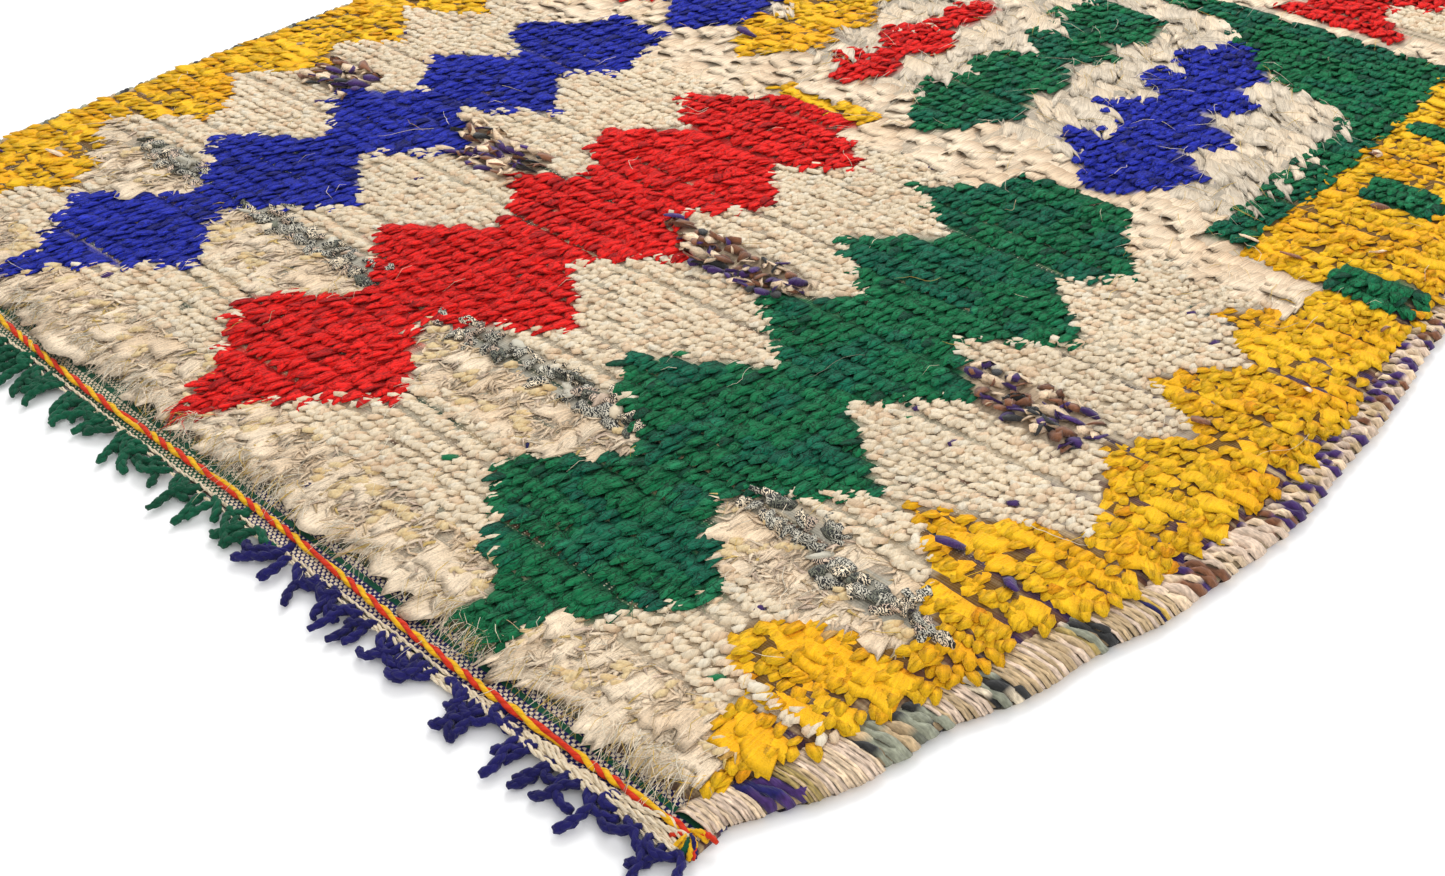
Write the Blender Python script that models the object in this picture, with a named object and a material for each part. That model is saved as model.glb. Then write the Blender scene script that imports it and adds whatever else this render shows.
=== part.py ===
"""Azilal rug, lying flat. Metres, +Z up, the floor at Z 0.

+X runs across the width and +Y along the length, away from the fringed end. The origin is the middle of
the underside. The rug is one knotted cloth with a wrapped edge on each long side. At the fringed end a
twisted cord, a row of twining and two runs of looped strands finish the woven strip in front of the pile.
"""
import math
import random
from collections import namedtuple

import bmesh
import bpy
from mathutils import Vector

# Plan sizes
HALF_LENGTH = 1.030
WOVEN_EDGE_Y = -0.9895
PILE_FRONT_Y = -0.9620
PILE_BACK_Y = 1.0020
TOUCH_GAP = 0.0003

# Heights
STRIP_THICK = 0.0045
LOCK_UNDERSIDE = 0.0128
WRAP_THICK = 0.0112
LUMP = 0.0045
LOCK_LEAST_THICK = 0.0030

# Pile grid: cells across, cells along, locks for each rim cell, and how far the points between locks rise
CELLS_ACROSS = 30
CELLS_ALONG = 50
LOCKS_PER_CELL = 2
LOCK_CROWN = (0.2 * LUMP, 0.6 * LUMP)

# Locks at the rim
LOCK_REACH = (0.0085, 0.0120)
LOCK_TAPER = 0.55
LOCK_LEAN = -0.40
LOCK_TIP_DROP = 0.0015

# Wrapped edges: a section from the cloth outwards, pinched between the wrapped lengths
Corner = namedtuple("Corner", "out up")
WRAP_SECTION = (
    Corner(out=0.00, up=0.00),
    Corner(out=0.00, up=0.86),
    Corner(out=0.40, up=1.00),
    Corner(out=0.80, up=0.78),
    Corner(out=1.00, up=0.34),
    Corner(out=0.93, up=0.00),
)
WRAP_PINCH = 0.86
WRAP_PINCH_IN = 0.0010
WRAP_UNEVEN = (0.94, 1.00)

# End cord: two plies turned round each other
CORD_Y = -0.9815
CORD_PLY_RADIUS = 0.0023
CORD_TURN = 0.052
CORD_STEPS_PER_TURN = 8
CORD_WAVE = 0.0028
CORD_WAVE_LENGTH = 0.46
CORD_WAVE_START = 0.7
CORD_END_INSET = 0.002

PLY_OUTER = 2.0
PLY_SHOULDER = 1.45
PLY_SHOULDER_ANGLE = 0.62
PLY_WAIST = 0.62

# Twining along the very edge: a section from the woven edge forwards, thinner between the crossings
TWINE_THICK = 0.0048
TWINE_PITCH = 0.022
TWINE_STEPS_PER_PITCH = 2
TWINE_WIDTH = 0.0046
TWINE_THIN = 0.82
TWINE_SECTION = (
    Corner(out=0.00, up=0.00),
    Corner(out=0.00, up=0.72),
    Corner(out=0.42, up=1.00),
    Corner(out=1.00, up=0.62),
    Corner(out=1.00, up=0.00),
)

# Fringe
ROOT_STRIP = 0.0028
ROOT_THICK = 0.0050
STRAND_PITCH = 0.0096
STRAND_WIDTH = 0.0054
STRAND_THICK = 0.0056
STRAND_LENGTH = (0.0170, 0.0300)
STRAND_SWAY = 0.0016
COLOUR_CHANGE_X = 0.0890
Bend = namedtuple("Bend", "reach sway size")
STRAND_BENDS = (
    Bend(reach=0.30, sway=0.8, size=1.00),
    Bend(reach=0.68, sway=-0.4, size=1.00),
    Bend(reach=1.00, sway=1.0, size=0.72),
)

# The outline: the two outer edges and the width of the wrapping there, for each station along the length
Station = namedtuple("Station", "y left right left_wrap right_wrap")
OUTLINE = (
    Station(y=-1.000, left=-0.566, right=0.494, left_wrap=0.011, right_wrap=0.012),
    Station(y=-0.960, left=-0.578, right=0.502, left_wrap=0.012, right_wrap=0.016),
    Station(y=-0.920, left=-0.590, right=0.524, left_wrap=0.012, right_wrap=0.026),
    Station(y=-0.870, left=-0.600, right=0.545, left_wrap=0.013, right_wrap=0.036),
    Station(y=-0.810, left=-0.610, right=0.554, left_wrap=0.013, right_wrap=0.024),
    Station(y=-0.740, left=-0.613, right=0.580, left_wrap=0.014, right_wrap=0.032),
    Station(y=-0.700, left=-0.614, right=0.585, left_wrap=0.013, right_wrap=0.026),
    Station(y=-0.620, left=-0.617, right=0.607, left_wrap=0.013, right_wrap=0.022),
    Station(y=-0.500, left=-0.620, right=0.620, left_wrap=0.013, right_wrap=0.018),
    Station(y=-0.380, left=-0.621, right=0.613, left_wrap=0.013, right_wrap=0.014),
    Station(y=-0.180, left=-0.616, right=0.592, left_wrap=0.013, right_wrap=0.013),
    Station(y=0.050, left=-0.604, right=0.590, left_wrap=0.013, right_wrap=0.013),
    Station(y=0.350, left=-0.606, right=0.602, left_wrap=0.013, right_wrap=0.013),
    Station(y=0.650, left=-0.613, right=0.608, left_wrap=0.013, right_wrap=0.013),
    Station(y=0.900, left=-0.602, right=0.596, left_wrap=0.013, right_wrap=0.013),
    Station(y=1.040, left=-0.586, right=0.580, left_wrap=0.012, right_wrap=0.012),
)

# Pile height along the length
Height = namedtuple("Height", "y z")
PILE_HEIGHT = (
    Height(y=-1.000, z=0.0165),
    Height(y=-0.930, z=0.0190),
    Height(y=-0.860, z=0.0180),
    Height(y=-0.600, z=0.0195),
    Height(y=-0.250, z=0.0200),
    Height(y=-0.100, z=0.0225),
    Height(y=0.200, z=0.0230),
    Height(y=0.320, z=0.0205),
    Height(y=0.930, z=0.0195),
    Height(y=1.040, z=0.0165),
)

Finish = namedtuple("Finish", "colour roughness")
FINISHES = {
    "pile_field": Finish(colour=(0.78, 0.69, 0.52), roughness=0.95),
    "selvedge_right": Finish(colour=(0.62, 0.52, 0.40), roughness=0.95),
    "selvedge_left": Finish(colour=(0.55, 0.50, 0.42), roughness=0.95),
    "end_cord": Finish(colour=(0.76, 0.10, 0.03), roughness=0.85),
    "edge_twining": Finish(colour=(0.80, 0.70, 0.55), roughness=0.90),
    "fringe_green": Finish(colour=(0.01, 0.10, 0.05), roughness=0.90),
    "fringe_navy": Finish(colour=(0.02, 0.015, 0.19), roughness=0.90),
}


def clear_scene():
    """Removes every object that the scene starts with."""
    for thing in list(bpy.data.objects):
        bpy.data.objects.remove(thing, do_unlink=True)


def along(table, y, column):
    """The value of one column at y, eased between the two rows of the table that lie round it."""
    for low, high in zip(table, table[1:]):
        if y <= high.y:
            break
    share = min(1.0, max(0.0, (y - low.y) / (high.y - low.y)))
    share = share * share * (3 - 2 * share)
    return getattr(low, column) * (1 - share) + getattr(high, column) * share


def cloth_left(y):
    """Where the cloth ends on the left and the wrapping starts."""
    return along(OUTLINE, y, "left") + along(OUTLINE, y, "left_wrap")


def cloth_right(y):
    """Where the cloth ends on the right and the wrapping starts."""
    return along(OUTLINE, y, "right") - along(OUTLINE, y, "right_wrap")


def finish_object(name, bm):
    """Turns the faces outwards, makes the named object and gives it its own material."""
    bmesh.ops.recalc_face_normals(bm, faces=bm.faces)
    mesh = bpy.data.meshes.new(name)
    bm.to_mesh(mesh)
    bm.free()
    thing = bpy.data.objects.new(name, mesh)
    bpy.context.collection.objects.link(thing)
    finish = FINISHES[name]
    material = bpy.data.materials.new(name)
    material.use_nodes = True
    shader = material.node_tree.nodes["Principled BSDF"]
    shader.inputs["Base Color"].default_value = (*finish.colour, 1.0)
    shader.inputs["Roughness"].default_value = finish.roughness
    shader.inputs["Metallic"].default_value = 0.0
    mesh.materials.append(material)
    return thing


def lump_height(column, row, y, rng):
    """Pile height at a grid point: the height along the length, lumps like set bricks, and some unevenness."""
    brick = LUMP / 2 * (1 if (column + row) % 2 else -1)
    height = along(PILE_HEIGHT, y, "z") + brick + rng.uniform(-LUMP, LUMP) / 2
    return max(height, LOCK_UNDERSIDE + LOCK_LEAST_THICK)


def pile_top(bm, rng):
    """The grid of pile points, as rows from front to back."""
    rows = []
    for row in range(CELLS_ALONG + 1):
        y = PILE_FRONT_Y + (PILE_BACK_Y - PILE_FRONT_Y) * row / CELLS_ALONG
        left, right = cloth_left(y), cloth_right(y)
        line = []
        for column in range(CELLS_ACROSS + 1):
            x = left + (right - left) * column / CELLS_ACROSS
            line.append(bm.verts.new((x, y, lump_height(column, row, y, rng))))
        rows.append(line)
    return rows


def rim_of(rows):
    """The grid points round the rim, anticlockwise from the front left, with the side that each starts."""
    front = [(v, "front") for v in rows[0][:-1]]
    right = [(line[-1], "right") for line in rows[:-1]]
    back = [(v, "back") for v in reversed(rows[-1][1:])]
    left = [(line[0], "left") for line in reversed(rows[1:])]
    return front + right + back + left


def split_rim(bm, rim, rng):
    """Puts the points between locks into each rim cell. Keys are the cell's two corner points."""
    between = {}
    for (start, side), (end, _) in zip(rim, rim[1:] + rim[:1]):
        made = []
        for part in range(1, LOCKS_PER_CELL):
            point = start.co.lerp(end.co, part / LOCKS_PER_CELL)
            point.z += rng.uniform(*LOCK_CROWN)
            made.append(bm.verts.new(point))
        between[(start, end)] = (made, side)
    return between


def rim_run(between, start, end):
    """The points from start up to but not including end, with any points between them on the rim."""
    if (start, end) in between:
        return [start, *between[(start, end)][0]]
    if (end, start) in between:
        return [start, *reversed(between[(end, start)][0])]
    return [start]


def grow_lock(bm, wall, side, rng):
    """Draws one upper wall face out into a tapered lock that leans with the pile, over the wrapping."""
    outward = {"front": (0, -1, 0), "right": (1, LOCK_LEAN, 0), "left": (-1, LOCK_LEAN, 0)}
    reach = Vector(outward[side]).normalized() * rng.uniform(*LOCK_REACH)
    grown = bmesh.ops.extrude_discrete_faces(bm, faces=[wall])["faces"][0]
    middle = grown.calc_center_median()
    for vert in grown.verts:
        vert.co = middle + (vert.co - middle) * LOCK_TAPER + reach
        vert.co.z = max(LOCK_UNDERSIDE, vert.co.z - LOCK_TIP_DROP)


def woven_end(bm, foot_left, foot_right, roots, edge_y):
    """The flat-woven strip past one end of the pile, as wide as the wrapped rug.

    Returns the bottom points of its outline, from the left foot round to the right foot."""
    pile_y = roots[0].co.y
    plan = [(along(OUTLINE, y, side), y) for side, y in
            (("left", pile_y), ("left", edge_y), ("right", edge_y), ("right", pile_y))]
    top = [bm.verts.new((x, y, STRIP_THICK)) for x, y in plan]
    bottom = [bm.verts.new((x, y, 0.0)) for x, y in plan]
    bm.faces.new([*roots, *reversed(top)])
    upper, lower = [roots[0], *top, roots[-1]], [foot_left, *bottom, foot_right]
    for index in range(len(upper) - 1):
        bm.faces.new([upper[index], upper[index + 1], lower[index + 1], lower[index]])
    return bottom


def below(bm, vert, z):
    """A point straight under vert at height z."""
    return bm.verts.new((vert.co.x, vert.co.y, z))


def pile_field():
    """The rug's own cloth: lumpy pile, locks round three sides, a woven strip at each end, flat below."""
    rng = random.Random(11)
    bm = bmesh.new()
    rows = pile_top(bm, rng)
    rim = rim_of(rows)
    between = split_rim(bm, rim, rng)
    for near, far in zip(rows, rows[1:]):
        for a, b, c, d in zip(near, near[1:], far[1:], far):
            corners = [a, b, c, d]
            loop = [v for s, e in zip(corners, corners[1:] + corners[:1]) for v in rim_run(between, s, e)]
            bm.faces.new(loop)

    ring = [v for (s, _), (e, _) in zip(rim, rim[1:] + rim[:1]) for v in rim_run(between, s, e)]
    ends = {name: sorted((v for v in ring if v.co.y == line[0].co.y), key=lambda v: v.co.x)
            for name, line in (("front", rows[0]), ("back", rows[-1]))}
    sheltered = {v: below(bm, v, LOCK_UNDERSIDE) for v in ring}
    root = {v: below(bm, v, STRIP_THICK) for v in ends["front"] + ends["back"]}
    foot = {v: below(bm, v, 0.0) for line in rows for v in (line[0], line[-1])}

    locks = []
    for (start, _), (end, _) in zip(rim, rim[1:] + rim[:1]):
        side = between[(start, end)][1]
        run = [*rim_run(between, start, end), end]
        for v, w in zip(run, run[1:]):
            wall = bm.faces.new([v, w, sheltered[w], sheltered[v]])
            if side != "back":
                locks.append((wall, side))
            if side in ends:
                bm.faces.new([sheltered[v], sheltered[w], root[w], root[v]])
        if side not in ends:
            down = [root[end]] if end in root else []
            up = [root[start]] if start in root else []
            bm.faces.new([*(sheltered[v] for v in run), *down, foot[end], foot[start], *up])

    front = woven_end(bm, foot[rows[0][0]], foot[rows[0][-1]], [root[v] for v in ends["front"]], WOVEN_EDGE_Y)
    back = woven_end(bm, foot[rows[-1][0]], foot[rows[-1][-1]], [root[v] for v in ends["back"]], HALF_LENGTH)
    right_feet = [foot[line[-1]] for line in rows]
    left_feet = [foot[line[0]] for line in reversed(rows)]
    bm.faces.new([*front, *right_feet, *reversed(back), *left_feet])
    for wall, side in locks:
        grow_lock(bm, wall, side, rng)
    return finish_object("pile_field", bm)


def bridge_sections(bm, sections):
    """Joins closed sections of the same number of points, one after another, and closes both ends."""
    for near, far in zip(sections, sections[1:]):
        count = len(near)
        for index in range(count):
            after = (index + 1) % count
            bm.faces.new([near[index], near[after], far[after], far[index]])
    bm.faces.new(sections[0])
    bm.faces.new(list(reversed(sections[-1])))


def selvedge(name, side, seed):
    """A wrapped edge: a flat bundle, thick at the cloth and round outside, pinched between its sections.

    side is 1 on the right and -1 on the left."""
    rng = random.Random(seed)
    wrap_column = "right_wrap" if side > 0 else "left_wrap"
    cloth_edge = cloth_right if side > 0 else cloth_left
    stations = [PILE_FRONT_Y + (PILE_BACK_Y - PILE_FRONT_Y) * k / CELLS_ALONG for k in range(CELLS_ALONG + 1)]
    stations[0] += TOUCH_GAP
    stations[-1] -= TOUCH_GAP
    bm = bmesh.new()
    sections = []
    for index, y in enumerate(stations):
        pinched = index % 2 == 0
        wide = along(OUTLINE, y, wrap_column) - TOUCH_GAP - (WRAP_PINCH_IN if pinched else 0.0)
        thick = WRAP_THICK * (WRAP_PINCH if pinched else rng.uniform(*WRAP_UNEVEN))
        start = cloth_edge(y) + side * TOUCH_GAP
        points = [(start + side * corner.out * wide, y, corner.up * thick) for corner in WRAP_SECTION]
        sections.append([bm.verts.new(point) for point in points])
    bridge_sections(bm, sections)
    return finish_object(name, bm)


def cord_line(x):
    """How far the laid cord strays from straight at x."""
    return CORD_WAVE * math.sin(2 * math.pi * x / CORD_WAVE_LENGTH + CORD_WAVE_START)


def end_cord():
    """Two plies turned round each other: a waisted section that turns as it goes along the woven strip."""
    start = along(OUTLINE, CORD_Y, "left") + CORD_END_INSET
    end = along(OUTLINE, CORD_Y, "right") - CORD_END_INSET
    steps = round((end - start) / CORD_TURN * CORD_STEPS_PER_TURN)
    outer = CORD_PLY_RADIUS * PLY_OUTER
    shoulder, waist = CORD_PLY_RADIUS * PLY_SHOULDER, CORD_PLY_RADIUS * PLY_WAIST
    half = ((outer, 0.0), (shoulder, PLY_SHOULDER_ANGLE), (waist, math.pi / 2),
            (shoulder, math.pi - PLY_SHOULDER_ANGLE))
    plies = half + tuple((r, a + math.pi) for r, a in half)
    bm = bmesh.new()
    sections = []
    centre_z = STRIP_THICK + TOUCH_GAP + outer
    for step in range(steps + 1):
        x = start + (end - start) * step / steps
        turn = 2 * math.pi * (x - start) / CORD_TURN
        centre_y = CORD_Y + cord_line(x)
        points = [(x, centre_y + r * math.cos(a + turn), centre_z + r * math.sin(a + turn)) for r, a in plies]
        sections.append([bm.verts.new(point) for point in points])
    bridge_sections(bm, sections)
    return finish_object("end_cord", bm)


def edge_twining():
    """The twined cords along the edge as one run, thick and thin by turns where they cross."""
    start, end = along(OUTLINE, WOVEN_EDGE_Y, "left"), along(OUTLINE, WOVEN_EDGE_Y, "right")
    steps = round((end - start) / TWINE_PITCH * TWINE_STEPS_PER_PITCH)
    back = WOVEN_EDGE_Y - TOUCH_GAP
    bm = bmesh.new()
    sections = []
    for step in range(steps + 1):
        x = start + (end - start) * step / steps
        crossing = step % TWINE_STEPS_PER_PITCH == 0
        thick = TWINE_THICK * (1.0 if crossing else TWINE_THIN)
        points = [(x, back - corner.out * TWINE_WIDTH, corner.up * thick) for corner in TWINE_SECTION]
        sections.append([bm.verts.new(point) for point in points])
    bridge_sections(bm, sections)
    return finish_object("edge_twining", bm)


def grow_strand(bm, root, rng, length):
    """Draws a root face out into one curled strand that rests on the floor, bend by bend."""
    start = root.calc_center_median()
    sway = rng.uniform(-1, 1) * STRAND_SWAY
    tip, middle = root, start.x
    for bend in STRAND_BENDS:
        tip = bmesh.ops.extrude_discrete_faces(bm, faces=[tip])["faces"][0]
        centre = start.x + sway * bend.sway
        half = STRAND_WIDTH / 2 * bend.size
        for vert in tip.verts:
            vert.co.x = centre + (half if vert.co.x > middle else -half)
            vert.co.y = start.y - length * bend.reach
            vert.co.z = STRAND_THICK * bend.size if vert.co.z > 0 else 0.0
        middle = centre


def fringe(name, left, right, seed, longest):
    """A run of strands: a narrow strip along the edge with its front face drawn out strand by strand."""
    rng = random.Random(seed)
    count = int((right - left) / STRAND_PITCH)
    pitch = (right - left) / count
    back_y = WOVEN_EDGE_Y - TWINE_WIDTH - 2 * TOUCH_GAP
    front_y = back_y - ROOT_STRIP
    bm = bmesh.new()
    xs = [left]
    for index in range(count):
        middle = left + (index + 0.5) * pitch
        xs += [middle - STRAND_WIDTH / 2, middle + STRAND_WIDTH / 2]
    xs.append(right)
    low = [bm.verts.new((x, front_y, 0.0)) for x in xs]
    high = [bm.verts.new((x, front_y, ROOT_THICK)) for x in xs]
    back = [bm.verts.new((x, back_y, z)) for x in (left, right) for z in (0.0, ROOT_THICK)]
    roots = []
    for index in range(len(xs) - 1):
        face = bm.faces.new([low[index], low[index + 1], high[index + 1], high[index]])
        if index % 2:
            roots.append(face)
    bm.faces.new([*high, back[3], back[1]])
    bm.faces.new([*reversed(low), back[0], back[2]])
    bm.faces.new([back[0], back[1], back[3], back[2]])
    bm.faces.new([low[0], high[0], back[1], back[0]])
    bm.faces.new([high[-1], low[-1], back[2], back[3]])
    bmesh.ops.recalc_face_normals(bm, faces=bm.faces)
    most = front_y + HALF_LENGTH
    for index, root in enumerate(roots):
        length = most if index == longest else rng.uniform(STRAND_LENGTH[0], min(STRAND_LENGTH[1], most))
        grow_strand(bm, root, rng, length)
    return finish_object(name, bm)


def main():
    """Builds the rug piece by piece."""
    clear_scene()
    pile_field()
    selvedge("selvedge_right", side=1, seed=23)
    selvedge("selvedge_left", side=-1, seed=29)
    end_cord()
    edge_twining()
    left, right = along(OUTLINE, WOVEN_EDGE_Y, "left"), along(OUTLINE, WOVEN_EDGE_Y, "right")
    fringe("fringe_green", left, COLOUR_CHANGE_X - TOUCH_GAP, seed=31, longest=20)
    fringe("fringe_navy", COLOUR_CHANGE_X, right, seed=37, longest=18)


main()
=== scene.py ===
"""Dresses the azilal rug: pile in rows, wrapped edges, a woven strip, a twisted cord and a looped fringe.

Metres, +Z up. +X runs across the rug and +Y along it, away from the fringe. Every piece is worked out as
whole arrays and lies where the frame's solids lie.
"""
import logging
import math
from dataclasses import dataclass, replace
from enum import IntEnum
from typing import NamedTuple, Sequence, Union

import bpy
import numpy as np
from mathutils import Matrix, Vector


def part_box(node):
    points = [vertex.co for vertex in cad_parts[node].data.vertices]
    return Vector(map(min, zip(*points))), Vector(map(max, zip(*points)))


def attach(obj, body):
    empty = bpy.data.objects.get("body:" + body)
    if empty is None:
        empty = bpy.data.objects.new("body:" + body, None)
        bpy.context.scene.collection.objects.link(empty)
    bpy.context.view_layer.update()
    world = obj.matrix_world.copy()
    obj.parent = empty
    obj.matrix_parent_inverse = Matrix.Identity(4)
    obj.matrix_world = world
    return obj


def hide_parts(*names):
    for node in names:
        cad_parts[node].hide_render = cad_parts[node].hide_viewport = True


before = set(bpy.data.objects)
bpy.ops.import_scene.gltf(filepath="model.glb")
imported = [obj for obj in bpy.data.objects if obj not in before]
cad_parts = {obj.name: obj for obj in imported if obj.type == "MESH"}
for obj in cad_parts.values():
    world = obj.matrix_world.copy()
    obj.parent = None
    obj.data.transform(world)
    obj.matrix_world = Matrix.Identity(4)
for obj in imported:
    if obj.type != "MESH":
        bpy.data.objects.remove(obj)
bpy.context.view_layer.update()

ROOT = "root"
# A full turn of the plies so long that they lie straight.
STRAIGHT = 1000.0
# Past either side of the rug.
OFF = 0.7
# How many values a side of the lattice of unevenness has, and a shift that keeps places positive.
LATTICE, SHIFT = 61, 200
# What keeps a length of nothing from being divided by.
SMALL, TINY = 1e-9, 1e-12
Array = np.ndarray
Chance = np.random.Generator
Material = bpy.types.Material
Piece = bpy.types.Object
Socket = bpy.types.NodeSocket
Value = Union[Socket, float, Array]
log = logging.getLogger("azilal_rug")


def dye(red: int, green: int, blue: int) -> Array:
    """A linear colour from red, green and blue as the eye sees them, 0 to 255."""
    seen = np.array((red, green, blue)) / 255
    return np.where(seen <= 0.04045, seen / 12.92, ((seen + 0.055) / 1.055) ** 2.4)


CREAM = dye(243, 225, 195)
CREAM_WARM = dye(236, 208, 174)
CREAM_WHITE = dye(244, 232, 208)
PINK_BEIGE = dye(226, 200, 176)
FLEECE_TONE = dye(246, 224, 194)
GOLD_PALE = dye(232, 198, 122)
SHAG_WHITE = dye(222, 207, 185)
TAN = dye(204, 176, 136)
OLIVE = dye(176, 152, 92)
GOLD = dye(218, 180, 84)
GREEN = dye(18, 122, 74)
GREEN_DARK = dye(12, 84, 58)
GREEN_LIGHT = dye(38, 140, 92)
GREEN_COOL = dye(12, 108, 84)
RED = dye(250, 30, 24)
RED_DARK = dye(200, 22, 22)
BLUE = dye(38, 52, 190)
BLUE_DARK = dye(26, 34, 134)
YELLOW = dye(248, 194, 28)
YELLOW_DARK = dye(242, 164, 12)
YELLOW_DEEP = dye(248, 180, 16)
NAVY = dye(27, 24, 90)
BOTTLE = dye(12, 84, 58)
PURPLE = dye(70, 44, 104)
BROWN = dye(134, 88, 62)
SAGE = dye(150, 152, 132)
CHARCOAL = dye(50, 50, 50)
PRINT_PALE = dye(204, 198, 180)
CORD_RED = dye(216, 52, 22)
CORD_YELLOW = dye(242, 184, 26)


class Yarn(IntEnum):
    """What a knot is tied with."""

    CREAM = 0
    SHAG = 1
    BEIGE = 2
    GREEN = 3
    RED = 4
    BLUE = 5
    YELLOW = 6
    SHRED = 7
    GREY = 8
    MATTED = 9


class Figure(NamedTuple):
    """A figure of one yarn: each charted row's place along the rug, its left end and its right end."""

    yarn: Yarn
    rows: Array


def figure(yarn: Yarn, *rows: tuple[float, float, float]) -> Figure:
    """A figure from its charted rows, lowest first: place along the rug, left end and right end."""
    return Figure(yarn, np.array(rows))


def chain(yarn: Yarn, centre: float, tip: float, shift: float, *rows: tuple[float, float]) -> Figure:
    """A chain of lozenges on one centre line.

    Args:
        yarn: what it is knotted in.
        centre: where its middle is across the rug.
        tip: where it starts along the rug.
        shift: how far the middle has moved sideways at the last row.
        rows: step up from the tip and half width, for each charted row.

    Returns:
        The figure.
    """
    up, half = np.array(rows).T
    middle = centre + shift * up / up[-1]
    return Figure(yarn, np.stack([tip + up, middle - half, middle + half], axis=1))


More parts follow.
